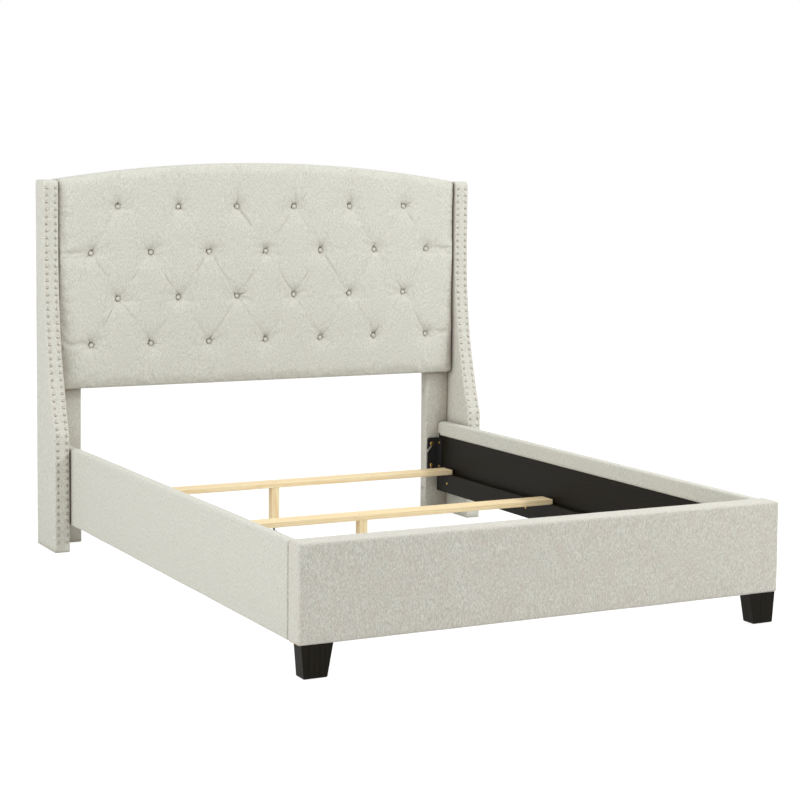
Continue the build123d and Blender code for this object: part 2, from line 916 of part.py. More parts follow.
def write_rails():
    """The two side rails, with their ledgers, brackets, screws and pins."""
    write_pair("rail_cover", rail_cover())
    write_pair("rail_board", rail_board())
    write_pair("rail_foam", rail_foam())
    write_pair("ledger", ledger())
    write_pair("head_bracket", hook_bracket())
    write_pair("foot_bracket", at_foot(hook_bracket()))
    write_pair("rail_screws", [fastener(*place) for place in bracket_screws() + ledger_screws()])
    pins = [fastener(*place) for place in hook_pins(1) + hook_pins(-1)]
    write("hook_pins", pins + [left(pin) for pin in pins])


def write_footboard():
    """The footboard, the front feet and all floor glides."""
    write("footboard_cover", footboard_cover())
    write("footboard_foam", footboard_layer(bed_front + cover, bed_front + cover + foam))
    write("footboard_front_board", footboard_front_board())
    write("footboard_back_board", footboard_back_board())
    write("footboard_frame", footboard_frame())
    write_pair("front_foot", front_foot())
    write("foot_bolts", [hanger_bolt(), left(hanger_bolt())])
    write("floor_glides", floor_glides())


def write_slats():
    """The slats, each with its leg, screws, insert and levelling foot."""
    for number in range(slat_count):
        name = number + 1
        write(f"slat_{name}", slat(number))
        write(f"centre_leg_{name}", centre_leg(number))
        fixings = [fastener(*place) for place in leg_screws(number)]
        write(f"slat_fixings_{name}", fixings + [threaded_insert(number)])
        write(f"leveller_{name}", leveller(number))


os.makedirs("parts", exist_ok=True)
write_headboard()
write_wings()
write_rails()
write_footboard()
write_slats()
print("bay", bay_width, "by", bay_length, "overall", 2 * wing_outer, overall_length, panel_crown_top)
print("wing sweep radius", round(sweep_radius), "arch radius", round(arch_radius))
print("nailheads in a row", len(nail_places()), "buttons", sum(len(row) for row in tuft_rows()))
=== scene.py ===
# %% [markdown]
# # Dressing an upholstered wingback bed
#
# The bed arrives as a construction model: boards, posts, brackets, screws and plain solids
# for everything soft. This lesson dresses it. Hard parts whose shape is already right keep
# their mesh and get a finish; soft parts are modelled again as fabric over padding, and
# ride on the same body as the solid that they stand for. Lengths are in metres.

# %% Load the construction model
import math
import random

import bmesh
import bpy
import numpy as np
from mathutils import Matrix, Vector, noise
from mathutils.bvhtree import BVHTree


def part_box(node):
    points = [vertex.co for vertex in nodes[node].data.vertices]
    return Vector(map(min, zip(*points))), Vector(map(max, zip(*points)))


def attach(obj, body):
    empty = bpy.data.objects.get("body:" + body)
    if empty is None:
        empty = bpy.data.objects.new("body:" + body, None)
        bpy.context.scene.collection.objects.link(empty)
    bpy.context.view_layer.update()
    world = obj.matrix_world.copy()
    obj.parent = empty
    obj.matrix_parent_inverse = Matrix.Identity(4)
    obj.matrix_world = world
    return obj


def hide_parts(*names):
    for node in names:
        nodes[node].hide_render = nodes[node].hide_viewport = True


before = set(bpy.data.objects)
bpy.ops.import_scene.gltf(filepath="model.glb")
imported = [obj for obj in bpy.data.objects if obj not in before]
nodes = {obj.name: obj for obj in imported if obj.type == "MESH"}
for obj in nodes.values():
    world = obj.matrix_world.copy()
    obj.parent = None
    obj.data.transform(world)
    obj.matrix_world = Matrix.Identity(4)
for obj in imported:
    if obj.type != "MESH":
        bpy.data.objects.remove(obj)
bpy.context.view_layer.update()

mm = 0.001
full_turn = 2 * math.pi
scene = bpy.context.scene
scene.view_settings.view_transform = "Standard"
print("construction nodes:", len(nodes))

# %% [markdown]
# ## Where the photographer stood
#
# A camera can be matched to a photograph by trial, but straight edges of known length give
# it directly: the rails, the footboard and the legs fix the eye, its heading and its lens.
# The camera looks down only slightly, and the lens is shifted down for the rest, as an
# architectural photographer would do, so upright edges stay all but upright.

# %% Camera
eye = Vector((-2.9967, -5.8593, 1.4054))
heading = math.radians(27.218)
tilt = math.radians(-4.46)
roll = math.radians(0.462)

forward = Vector((math.sin(heading) * math.cos(tilt), math.cos(heading) * math.cos(tilt), math.sin(tilt)))
level = Vector((math.cos(heading), -math.sin(heading), 0))
above = level.cross(forward)
rightward = level * math.cos(roll) + above * math.sin(roll)
upward = above * math.cos(roll) - level * math.sin(roll)

lens = bpy.data.cameras.new("studio_lens")
lens.lens = 87.34
lens.shift_x = 0.0131
lens.shift_y = -0.1
camera = bpy.data.objects.new("studio_camera", lens)
camera.matrix_world = Matrix((rightward, upward, -forward)).transposed().to_4x4()
camera.location = eye
scene.collection.objects.link(camera)
scene.camera = camera
print("camera distance to the bed:", round(eye.length, 2), "m")

# %% [markdown]
# ## Small tools for writing shaders
#
# A shader is a graph, and a graph written out link by link is hard to read. These helpers
# let one line add a node, fill its inputs by name and hand on its output, so that each
# finish below reads like a recipe.

# %% Shader helpers


def feed(tree, value, socket):
    """Fills an input with a number, a colour or the output of another node."""
    if isinstance(value, bpy.types.NodeSocket):
        tree.links.new(value, socket)
    else:
        socket.default_value = value


def add(tree, kind, inputs, output=0, **settings):
    """Adds a node, with its inputs by name or number, and returns one of its outputs."""
    node = tree.nodes.new("ShaderNode" + kind)
    for name, value in settings.items():
        setattr(node, name, value)
    for name, value in inputs.items():
        feed(tree, value, node.inputs[name])
    return node.outputs[output]


def maths(tree, operation, *values):
    """One step of arithmetic."""
    return add(tree, "Math", dict(enumerate(values)), operation=operation)


def chain(tree, operation, values):
    """The same step again and again, over a row of values."""
    result = values[0]
    for value in values[1:]:
        result = maths(tree, operation, result, value)
    return result


def times(tree, *values):
    return chain(tree, "MULTIPLY", values)


def plus(tree, *values):
    return chain(tree, "ADD", values)


def blend(tree, factor, first, second):
    """Mixes two colours by a factor."""
    return add(tree, "Mix", {0: factor, 6: first, 7: second}, 2, data_type="RGBA")


def own_place(tree):
    """Each point of a piece, in the piece's own space."""
    return add(tree, "TexCoord", {}, "Object")


def axes_of(tree, vector):
    """A vector's three numbers."""
    return add(tree, "SeparateXYZ", {0: vector}, 0).node.outputs


def remap(tree, value, low, high, new_low=0.0, new_high=1.0):
    """Stretches the range low to high over a new one, and stops at its ends."""
    inputs = {"Value": value, "From Min": low, "From Max": high, "To Min": new_low, "To Max": new_high}
    return add(tree, "MapRange", inputs)


def cloud(tree, vector, stretch, detail=2.0, roughness=0.5):
    """Soft noise between 0 and 1, with its own number of cells in a metre on each axis."""
    scaled = add(tree, "VectorMath", {0: vector, 1: stretch}, operation="MULTIPLY")
    return add(tree, "TexNoise", {"Vector": scaled, "Scale": 1.0, "Detail": detail, "Roughness": roughness})


def group(name, inputs, outputs):
    """A new shader node group. Inputs are name: default, outputs are name: kind."""
    tree = bpy.data.node_groups.new(name, "ShaderNodeTree")
    for label, default in inputs.items():
        kind = "NodeSocketFloat" if isinstance(default, float) else "NodeSocketColor"
        if isinstance(default, Vector):
            kind = "NodeSocketVector"
        socket = tree.interface.new_socket(label, in_out="INPUT", socket_type=kind)
        socket.default_value = default
    for label, kind in outputs.items():
        tree.interface.new_socket(label, in_out="OUTPUT", socket_type="NodeSocket" + kind)
    return tree, tree.nodes.new("NodeGroupInput").outputs, tree.nodes.new("NodeGroupOutput").inputs


def srgb(red, green, blue):
    """A colour as it is seen on a screen, 0 to 255, turned into the linear light that shaders use."""
    return tuple(((v / 255 + 0.055) / 1.055) ** 2.4 for v in (red, green, blue)) + (1.0,)


# %% [markdown]
# ## One weave for all the fabric
#
# The bed is covered in one polyester linen-look: light and grey yarns twisted together, so
# the cloth is flecked rather than plain, with thicker slubs that run mostly upright. An
# image of cloth would need unwrapping and would blur up close. Noise in the object's own
# space needs no unwrapping: stretched along Z it draws upright slubs, stretched across it
# draws the weft, and a fine grid of bumps, weighted by which way the face looks, is the
# weave itself. An ambient occlusion node measures how shut in each point is, and there the
# colour is mixed towards a warm brown: painted shade in folds, button wells and gaps. It is a
# group, because the buttons and the covers all use it.

# %% Node group for the woven cloth
slub_share = 0.68
fleck_contrast = (0.415, 0.585)
plain_fleck = 0.55
# Painted shade: how shut in a point must be before it is darkened, and the most share of the shade colour
open_range = (0.15, 0.94)
painted_shade_strength = 0.65
slub_height = 1.3
crossing_height = 0.35


def make_weave_group():
    inputs = {
        "Light yarn": srgb(231, 232, 222), "Dark yarn": srgb(187, 187, 175),
        "Warm tint": srgb(207, 192, 182), "Painted shade": srgb(128, 108, 92),
        "Yarn": 1.5 * mm, "Flecks": 1.0, "Warmth": 0.5, "Reach": 26 * mm,
    }
    tree, given, result = group("heathered_weave", inputs, {"Color": "Color", "Height": "Float"})
    place = own_place(tree)
    facing = add(tree, "TexCoord", {}, "Normal")
    upright = cloud(tree, place, (500, 500, 110), 3.0, 0.7)
    across = cloud(tree, place, (200, 200, 560), 3.0, 0.7)
    flecks = plus(tree, times(tree, upright, slub_share), times(tree, across, 1 - slub_share))
    flecked = times(tree, remap(tree, flecks, *fleck_contrast), given["Flecks"])
    even = times(tree, maths(tree, "SUBTRACT", 1.0, given["Flecks"]), plain_fleck)
    yarns = blend(tree, plus(tree, flecked, even), given["Dark yarn"], given["Light yarn"])
    patches = remap(tree, cloud(tree, place, (26, 26, 20), 3.0), 0.35, 0.7, 0.35, 1.0)
    specks = remap(tree, cloud(tree, place, (300, 300, 150), 3.0, 0.75), 0.44, 0.58)
    warm = times(tree, patches, specks, given["Warmth"])
    # Painted shade: where ambient occlusion finds a point shut in, its colour is mixed towards a warm brown
    open_sky = add(tree, "AmbientOcclusion", {"Distance": given["Reach"]}, "AO", samples=6)
    painted_shade_amount = remap(tree, open_sky, *open_range, painted_shade_strength, 0.0)
    warmed = blend(tree, warm, yarns, given["Warm tint"])
    feed(tree, blend(tree, painted_shade_amount, warmed, given["Painted shade"]), result["Color"])

    pitch = maths(tree, "DIVIDE", math.pi, given["Yarn"])
    phase = add(tree, "VectorMath", {0: place, "Scale": pitch}, operation="SCALE")
    wave = axes_of(tree, add(tree, "VectorMath", {0: phase}, operation="SINE"))
    side = axes_of(tree, add(tree, "VectorMath", {0: facing}, operation="ABSOLUTE"))
    sides = ((0, 1, 2), (1, 0, 2), (2, 0, 1))
    crossing = plus(tree, *(times(tree, wave[b], wave[c], side[a]) for a, b, c in sides))
    heights = times(tree, crossing, crossing_height), times(tree, flecks, slub_height)
    feed(tree, plus(tree, *heights), result["Height"])
    return tree


weave = make_weave_group()
print("weave group nodes:", len(weave.nodes))

# %% [markdown]
# ## One grain for all the timber
#
# Pine slats, raw frame timber and the black-stained feet differ in colour, not in how wood
# grows: rings round a far-off heart, and fibres and streaks along the length. The rings are
# a sine of the distance from the heart, bent by noise. The input vector is turned
# beforehand so that its Z runs along the piece, and one group serves every timber.

# %% Node group for the grain
heart_place = (0.06, 0.11)
heart_bend = 0.045


def make_grain_group():
    inputs = {
        "Along": Vector((0, 0, 0)), "Early wood": srgb(238, 215, 170), "Late wood": srgb(214, 172, 112),
        "Ring": 7 * mm, "Fibres": 0.35, "Rings": 0.6,
    }
    outputs = {"Color": "Color", "Height": "Float", "Gloss": "Float"}
    tree, given, result = group("timber_grain", inputs, outputs)
    bend = cloud(tree, given["Along"], (9, 9, 1.1), 2.0)
    place = axes_of(tree, given["Along"])
    offs = [plus(tree, place[i], heart_place[i]) for i in (0, 1)]
    squares = plus(tree, *(times(tree, off, off) for off in offs))
    heart = plus(tree, maths(tree, "SQRT", squares), times(tree, bend, heart_bend))
    ring_turn = times(tree, maths(tree, "DIVIDE", heart, given["Ring"]), full_turn)
    ring = remap(tree, maths(tree, "SINE", ring_turn), -0.5, 1.0)
    fibre = cloud(tree, given["Along"], (1500, 1500, 26), 2.0, 0.6)
    streak = cloud(tree, given["Along"], (190, 190, 5), 3.0, 0.6)
    ringed = times(tree, ring, given["Rings"])
    stringy = times(tree, remap(tree, fibre, 0.35, 0.7), given["Fibres"])
    banded = times(tree, remap(tree, streak, 0.4, 0.7), 0.3)
    shade = maths(tree, "MINIMUM", plus(tree, ringed, stringy, banded), 1.0)
    feed(tree, blend(tree, shade, given["Early wood"], given["Late wood"]), result["Color"])
    feed(tree, maths(tree, "SUBTRACT", times(tree, ringed, 0.4), stringy), result["Height"])
    feed(tree, shade, result["Gloss"])
    return tree


grain = make_grain_group()
print("grain group nodes:", len(grain.nodes))

# %% [markdown]
# ## Handling: worn edges and a breath of dust
#
# Nothing in a warehouse keeps perfect arrises. The wear group compares the true normal with
# one rounded over about a millimetre: where they part, there is an edge. It also puts out a
# cloud of handling marks. Both are masks, and each finish decides what a worn edge means:
# paler stain on wood, greyer paint on a bracket.

# %% Node group for wear


def make_wear_group():
    tree, given, result = group(
        "handling_wear", {"Edge": 1.2 * mm, "Spread": 0.5}, {"Edge": "Float", "Marks": "Float"}
    )
    rounded = add(tree, "Bevel", {"Radius": given["Edge"]}, samples=4)
    plain = add(tree, "NewGeometry", {}, "True Normal")
    same = add(tree, "VectorMath", {0: rounded, 1: plain}, "Value", operation="DOT_PRODUCT")
    edge = remap(tree, maths(tree, "SUBTRACT", 1.0, same), 0.01, 0.25)
    place = own_place(tree)
    broken = remap(tree, cloud(tree, place, (90, 90, 90), 4.0, 0.7), 0.35, 0.7)
    feed(tree, times(tree, edge, broken), result["Edge"])
    marks = remap(tree, cloud(tree, place, (22, 22, 14), 4.0, 0.65), 0.4, 0.75)
    feed(tree, times(tree, marks, given["Spread"]), result["Marks"])
    return tree


wear = make_wear_group()
print("wear group nodes:", len(wear.nodes))

# %% [markdown]
# ## Finishes
#
# Each finish is one material with its Principled shader, its values that are the same all
# over set straight on the sockets, and the groups above for what varies. Sheen gives the
# cloth the soft bright rim that short fibres have when the light grazes them. One cloth
# covers the bed, but it is made three times: plain, with more warm slubs for the footboard,
# and with its painted shade reaching further, for what stands between the wings.

# %% Fabric finishes


def finish(name, roughness, metallic=0.0):
    """A new material with a Principled shader, and the parts of it that the finishes use."""
    material = bpy.data.materials.new(name)
    material.use_nodes = True
    tree = material.node_tree
    shader = tree.nodes["Principled BSDF"]
    shader.inputs["Roughness"].default_value = roughness
    shader.inputs["Metallic"].default_value = metallic
    return material, tree, shader


def place_group(tree, which, **values):
    """Places a node group and returns its outputs. Input names are given with _ for a space."""
    node = tree.nodes.new("ShaderNodeGroup")
    node.node_tree = which
    for name, value in values.items():
        feed(tree, value, node.inputs[name.replace("_", " ")])
    return node.outputs


def bump(tree, shader, height, distance, strength=1.0):
    """Raises the surface by a height times a distance."""
    inputs = {"Height": height, "Distance": distance, "Strength": strength}
    feed(tree, add(tree, "Bump", inputs), shader.inputs["Normal"])


def make_cloth(name, **looks):
    """The woven cover, with its own values for some inputs of the weave."""
    material, tree, shader = finish(name, 0.92)
    shader.inputs["Sheen Weight"].default_value = 0.15
    shader.inputs["Sheen Roughness"].default_value = 0.45
    cloth = place_group(tree, weave, **looks)
    feed(tree, cloth["Color"], shader.inputs["Base Color"])
    bump(tree, shader, cloth["Height"], 0.22 * mm, 0.8)
    return material


headboard_cloth = make_cloth("oatmeal_weave", Flecks=0.82, Warmth=0.25)
base_cloth = make_cloth("oatmeal_weave_base", Warmth=0.7)
# Painted shade over a longer reach, for the panel, the buttons and the legs: a broad darker band by the
# wings and round the buttons
deep_painted_shade_cloth = make_cloth("oatmeal_weave_deep_painted_shade", Flecks=0.82, Warmth=0.25, Reach=85 * mm)


def make_dust_cloth():
    material, tree, shader = finish("black_dust_cloth", 0.95)
    place = own_place(tree)
    fibres = cloud(tree, place, (260, 260, 260), 5.0, 0.75)
    colour = blend(tree, remap(tree, fibres, 0.35, 0.7), srgb(24, 24, 25), srgb(52, 52, 54))
    feed(tree, colour, shader.inputs["Base Color"])
    dots = add(tree, "TexVoronoi", {"Vector": place, "Scale": 420.0}, "Distance")
    pressed = plus(tree, fibres, remap(tree, dots, 0.1, 0.4))
    bump(tree, shader, pressed, 0.25 * mm)
    return material


dust_cloth = make_dust_cloth()
cloths = (headboard_cloth, base_cloth, deep_painted_shade_cloth, dust_cloth)
print("cloth finishes:", *(made.name for made in cloths))

# %% Timber finishes

# The order in which a piece's own axes are handed to the grain, so that its Z runs along the piece
GRAIN_ORDERS = {"x": (1, 2, 0), "y": (2, 0, 1), "z": (0, 1, 2)}

WOODS = {
    "pine": {
        "early": srgb(255, 240, 200), "late": srgb(240, 207, 152), "worn": srgb(252, 240, 214),
        "ring": 6.5 * mm, "fibres": 0.35, "roughness": 0.62, "wear_amount": 0.3, "depth": 0.12 * mm,
    },
    "frame_timber": {
        "early": srgb(216, 186, 140), "late": srgb(176, 136, 88), "worn": srgb(232, 208, 166),
        "ring": 9 * mm, "fibres": 0.55, "roughness": 0.8, "wear_amount": 0.4, "depth": 0.3 * mm,
    },
    "black_stained_wood": {
        "early": srgb(32, 28, 18), "late": srgb(16, 13, 8), "worn": srgb(86, 78, 56), "shine": 0.1,
        "ring": 8 * mm, "fibres": 0.6, "roughness": 0.5, "wear_amount": 0.5, "depth": 0.1 * mm,
    },
}


def make_timber(name, axis, early, late, worn, ring, fibres, roughness, wear_amount, depth, shine=0.5):
    """A wood whose grain runs along one axis, with its edges worn towards another colour."""
    material, tree, shader = finish(f"{name}_{axis}", roughness)
    shader.inputs["Specular IOR Level"].default_value = shine
    place = axes_of(tree, own_place(tree))
    along = add(tree, "CombineXYZ", {i: place[own] for i, own in enumerate(GRAIN_ORDERS[axis])})
    wood = place_group(tree, grain, Along=along, Early_wood=early, Late_wood=late, Ring=ring,
                       Fibres=fibres, Rings=0.5)
    worn_edge = place_group(tree, wear)
    amount = times(tree, worn_edge["Edge"], wear_amount)
    soiled = blend(tree, times(tree, worn_edge["Marks"], 0.12), wood["Color"], late)
    feed(tree, blend(tree, amount, soiled, worn), shader.inputs["Base Color"])
    rough = remap(tree, wood["Gloss"], 0.0, 1.0, roughness + 0.06, roughness - 0.06)
    feed(tree, rough, shader.inputs["Roughness"])
    bump(tree, shader, wood["Height"], depth)
    return material


timbers = {}


def timber(kind, axis):
    """One material for each wood and grain direction, made the first time it is asked for."""
    if (kind, axis) not in timbers:
        timbers[kind, axis] = make_timber(kind, axis, **WOODS[kind])
    return timbers[kind, axis]


def make_plywood():
    """Sheets of veneer: a broad figure, crossed by the thin stripes of the glued plies."""
    material, tree, shader = finish("plywood", 0.75)
    place = own_place(tree)
    sheet = place_group(tree, grain, Along=place, Early_wood=srgb(214, 182, 134),
                        Late_wood=srgb(186, 146, 96), Ring=22 * mm, Fibres=0.4, Rings=0.5)
    axes = axes_of(tree, place)
    through = plus(tree, axes[0], axes[1])
    plies = maths(tree, "SINE", times(tree, through, full_turn / (2.4 * mm)))
    stripes = remap(tree, plies, 0.5, 1.0, 0.0, 0.5)
    feed(tree, blend(tree, stripes, sheet["Color"], srgb(140, 102, 66)), shader.inputs["Base Color"])
    bump(tree, shader, sheet["Height"], 0.2 * mm)
    return material


plywood = make_plywood()

# %% Metal and plastic finishes


def make_metal(name, colour, dull, roughness, worn=None, metallic=1.0):
    """A metal with clouded polish and marks, and edges rubbed towards another colour."""
    material, tree, shader = finish(name, roughness, metallic)
    used = place_group(tree, wear, Edge=0.8 * mm)
    place = own_place(tree)
    polish = cloud(tree, place, (320, 320, 320), 3.0, 0.6)
    tinted = blend(tree, remap(tree, polish, 0.35, 0.7), colour, dull)
    feed(tree, blend(tree, used["Edge"], tinted, worn or colour), shader.inputs["Base Color"])
    feed(tree, remap(tree, polish, 0.3, 0.7, roughness - 0.08, roughness + 0.1), shader.inputs["Roughness"])
    bump(tree, shader, polish, 0.06 * mm)
    return material


black_steel = make_metal("powder_coated_steel", srgb(24, 24, 25), srgb(34, 34, 35), 0.45,
                         worn=srgb(70, 70, 70), metallic=0.0)
brass = make_metal("yellow_zinc", srgb(212, 178, 104), srgb(176, 138, 74), 0.3)
nickel = make_metal("antique_nickel", srgb(192, 187, 177), srgb(134, 127, 117), 0.36,
                    worn=srgb(200, 197, 190))
zinc = make_metal("zinc_plate", srgb(190, 190, 190), srgb(150, 150, 148), 0.35)
plastic = make_metal("moulded_plastic", srgb(40, 40, 41), srgb(52, 52, 53), 0.55,
                     worn=srgb(66, 66, 66), metallic=0.0)
print("metal and plastic finishes:", *(made.name for made in (black_steel, brass, nickel, zinc, plastic)))

# %% [markdown]
# ## Hard parts keep their mesh
#
# Boards, posts, brackets and feet already have their real shape, so they only need a
# finish. Which wood, and which way its grain runs, follows from what the piece is: legs
# stand with the grain upright, slats lie with it across the bed, rails along it.

# %% Finishes on the construction parts


def dress(node, material):
    """Gives a construction part its finish, in place of whatever it had."""
    mesh = nodes[node].data
    mesh.materials.clear()
    mesh.materials.append(material)


TIMBER_PARTS = {
    "headboard_top_rail": ("frame_timber", "x"), "headboard_bottom_rail": ("frame_timber", "x"),
    "headboard_studs": ("frame_timber", "z"), "footboard_frame": ("frame_timber", "x"),
}
for side in ("left", "right"):
    TIMBER_PARTS[f"{side}_leg_post"] = ("frame_timber", "z")
    TIMBER_PARTS[f"{side}_wing_ring"] = ("frame_timber", "z")
    TIMBER_PARTS[f"{side}_ledger"] = ("black_stained_wood", "y")
    TIMBER_PARTS[f"{side}_rail_board"] = ("black_stained_wood", "y")
    TIMBER_PARTS[f"{side}_front_foot"] = ("black_stained_wood", "z")
    for part in ("wing_inner_board", "wing_outer_board"):
        dress(f"{side}_{part}", plywood)
    for part in ("head_bracket", "foot_bracket"):
        dress(f"{side}_{part}", black_steel)
for n in (1, 2, 3):
    TIMBER_PARTS[f"slat_{n}"] = ("pine", "x")
    TIMBER_PARTS[f"centre_leg_{n}"] = ("pine", "z")
for node, (kind, axis) in TIMBER_PARTS.items():
    dress(node, timber(kind, axis))
for node in ("headboard_plywood", "footboard_front_board", "footboard_back_board"):
    dress(node, plywood)
dress("foot_bolts", zinc)
print("timber parts dressed:", len(TIMBER_PARTS), "in", len(timbers), "timber finishes")

# %% [markdown]
# ## Reading places from the model
#
# Buttons, nails, screws and pins stand in exact seats. Instead of typing those again, the
# script separates a construction part into its solids, and takes each one's middle. That
# keeps the dressed fastener in the hole that was drilled for it.

# %% Solids of a part


def solids_of(node):
    """The corner points of each separate solid in a construction part."""
    work = bmesh.new()
    work.from_mesh(nodes[node].data)
    bmesh.ops.remove_doubles(work, verts=work.verts, dist=0.001 * mm)
    waiting = set(work.verts)
    found = []
    while waiting:
        edge = [waiting.pop()]
        solid = []
        while edge:
            corner = edge.pop()
            solid.append(tuple(corner.co))
            for link in corner.link_edges:
                other = link.other_vert(corner)
                if other in waiting:
                    waiting.remove(other)
                    edge.append(other)
        found.append(np.array(solid))
    work.free()
    return sorted(found, key=lambda solid: tuple(solid.mean(0).round(4)))


button_seats = solids_of("tuft_buttons")
print("buttons:", len(button_seats))

# %% Mesh helpers


def hill(off, width):
    """A smooth hill: 1 in the middle, fading out past a width."""
    return np.exp(-((off / width) ** 2))


def ramp(reach, length):
    """0 at the start, 1 past a length, and a straight slope between."""
    return np.clip(reach / length, 0, 1)


def rounding(reach, radius):
    """How far a quarter round has fallen: nothing at its start, its radius at its end."""
    return radius * (1 - np.sqrt(1 - ramp(reach, radius) ** 2))


def in_mm(profile):
    """A profile of radius and height that was written in millimetres."""
    return [(radius * mm, height * mm) for radius, height in profile]


def turns(sides):
    """The angles of evenly spaced points on a ring."""
    return [full_turn * i / sides for i in range(sides)]


def ring_faces(rings, sides):
    """Faces between rings of points that follow one another."""
    faces = []
    for ring in range(rings - 1):
        for i in range(sides):
            a, b = ring * sides + i, ring * sides + (i + 1) % sides
            faces.append([a, b, b + sides, a + sides])
    return faces


def mesh_piece(name, points, faces, material, smooth=True):
    """A new object from points and faces, with its finish."""
    mesh = bpy.data.meshes.new(name)
    mesh.from_pydata([tuple(point) for point in points], [], faces)
    mesh.validate()
    mesh.materials.append(material)
    if smooth:
        mesh.polygons.foreach_set("use_smooth", [True] * len(mesh.polygons))
    piece = bpy.data.objects.new(name, mesh)
    scene.collection.objects.link(piece)
    return piece


def dressed(piece, slot, *stands_for, body="bed_frame"):
    """Hides the construction parts that the piece stands for, and hangs the piece on the body that it moves
    with. The slot, which names what it is made of, is not used.
    """
    if stands_for:
        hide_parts(*stands_for)
    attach(piece, body)


def ticks(low, high, radius, pitch, extra=()):
    """Grid lines along one side of a soft box: close over the rounded ends, then evenly spaced."""
    bend = [radius * math.tan(math.pi / 4 * k / 3) for k in (1, 2, 3)]
    ends = [low + radius - b for b in bend] + [high - radius + b for b in bend]
    count = max(1, round((high - low - 2 * radius) / pitch))
    even = [low + radius + (high - low - 2 * radius) * i / count for i in range(count + 1)]
    lines = sorted(list(extra) + ends)
    lines += [v for v in even if all(abs(v - other) > 0.4 * mm for other in lines)]
    return sorted(lines)


def soft_box(low, high, radius, pitch, extra=((), (), ())):
    """The skin of a box with rounded edges, as points, faces and outward directions."""
    lines = [ticks(low[a], high[a], radius, pitch[a], extra[a]) for a in range(3)]
    index, points, faces = {}, [], []
    for a in range(3):
        b, c = (a + 1) % 3, (a + 2) % 3
        for end in (0, len(lines[a]) - 1):
            for j in range(len(lines[b]) - 1):
                for k in range(len(lines[c]) - 1):
                    quad = []
                    for step_b, step_c in ((0, 0), (1, 0), (1, 1), (0, 1)):
                        key = [end, end, end]
                        key[b] = j + step_b
                        key[c] = k + step_c
                        key = tuple(key)
                        if key not in index:
                            index[key] = len(points)
                            points.append([lines[axis][key[axis]] for axis in range(3)])
                        quad.append(index[key])
                    faces.append(quad if end else quad[::-1])
    points = np.array(points)
    inner = np.clip(points, np.array(low) + radius, np.array(high) - radius)
    outward = points - inner
    outward /= np.linalg.norm(outward, axis=1, keepdims=True)
    return inner + radius * outward, faces, outward


def ripple(points, size, seed):
    """Smooth unevenness between about -1 and 1, with waves of about this size."""
    shift = Vector((seed, 2 * seed, 3 * seed))
    return np.array([noise.noise(Vector(point) / size + shift) for point in points])


def slack(points, outward, coarse, fine, seed):
    """Cloth is never drawn quite evenly: slow swells, and finer ones on top of them."""
    lift = coarse * ripple(points, 0.16, seed) + fine * ripple(points, 0.035, seed)
    return points + outward * lift[:, None]


# %% [markdown]
# ## The wings
#
# Each wing is a hollow box of boards with cloth drawn over it. Its front edge falls
# straight, sweeps forward in one long arc, turns in a short round heel and drops to the
# floor. A rounded box is made first, upright and straight, and then its front is pushed
# to the curve while the back stays where it is, so the grid of the cloth follows the sweep.

# %% Shape of the wings
sweep_top = 1.080
sweep_foot = 0.415
heel_radius = 0.080
wing_top_depth = 0.097
wing_corner = 0.016
wing_shoulder = 0.006
wing_edge = 7 * mm
wing_hem = 3 * mm
wing_blend = 0.05

wing_low, wing_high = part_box("right_wing_cover")
front_top = wing_high.y - wing_top_depth
front_foot = wing_low.y
sweep_turn = 2 * math.atan((front_top - front_foot) / (sweep_top - sweep_foot))
sweep_radius = (sweep_top - sweep_foot) / math.sin(sweep_turn) - heel_radius
print("wing sweep radius", round(sweep_radius, 3), "m")


def wing_front(z):
    """How far forward the wing reaches at a height."""
    joint = sweep_foot + heel_radius * math.sin(sweep_turn)
    upper = front_top - sweep_radius + np.sqrt(sweep_radius**2 - np.clip(sweep_top - z, 0, sweep_radius)**2)
    lower = front_foot + heel_radius - np.sqrt(heel_radius**2 - np.clip(z - sweep_foot, 0, heel_radius)**2)
    return np.where(z > joint, upper, lower)


def nail_dimples(points, outward, nails, depth=0.9 * mm, spread=5.5 * mm):
    """The cloth is drawn in a little under each nail."""
    pull = np.zeros(len(points))
    for nail in nails:
        distance = np.linalg.norm(points - nail, axis=1)
        pull = np.maximum(pull, hill(distance, spread))
    return points - outward * (depth * pull)[:, None]


# %% Wing covers and their nails


def turned(profile, seat, axis, sides):
    """Points and faces of a form turned on a lathe: a profile of radius and height along an axis."""
    axis = Vector(axis).normalized()
    across = axis.orthogonal().normalized()
    other = axis.cross(across)
    points = []
    for radius, height in profile:
        for angle in turns(sides):
            arm = across * math.cos(angle) + other * math.sin(angle)
            points.append(Vector(seat) + axis * height + arm * radius)
    faces = ring_faces(len(profile), sides)
    faces.append(list(range(sides))[::-1])
    faces.append([(len(profile) - 1) * sides + i for i in range(sides)])
    return points, faces


def gathered(name, forms, material):
    """One object from many forms."""
    points, faces = [], []
    for form_points, form_faces in forms:
        faces += [[i + len(points) for i in face] for face in form_faces]
        points += list(form_points)
    return mesh_piece(name, points, faces, material)


nail_profile = in_mm([(5.5, -0.6), (5.6, 0.1), (5.3, 0.8), (4.5, 1.6), (3.2, 2.2), (1.6, 2.6), (0.3, 2.7)])
nail_sides = 14
nail_seat = 1.3 * mm


def nail_axis(seat):
    """The way a nail faces: square to the wing's front edge."""
    step = 2 * mm
    slope = (wing_front(np.array(seat[2] + step)) - wing_front(np.array(seat[2] - step))) / (2 * step)
    return Vector((0, -1, float(slope))).normalized()


def tighten_foot(points, outward, less):
    """Draws the rounding of a box's lower edges in, so that no timber shows under the cloth."""
    sideways = np.linalg.norm(outward[:, :2], axis=1)
    turning = less * ((outward[:, 2] < -0.01) & (sideways > 0.01))
    points[:, :2] += (turning * (1 - sideways) / np.maximum(sideways, 0.01))[:, None] * outward[:, :2]
    points[:, 2] -= turning * (1 + outward[:, 2])


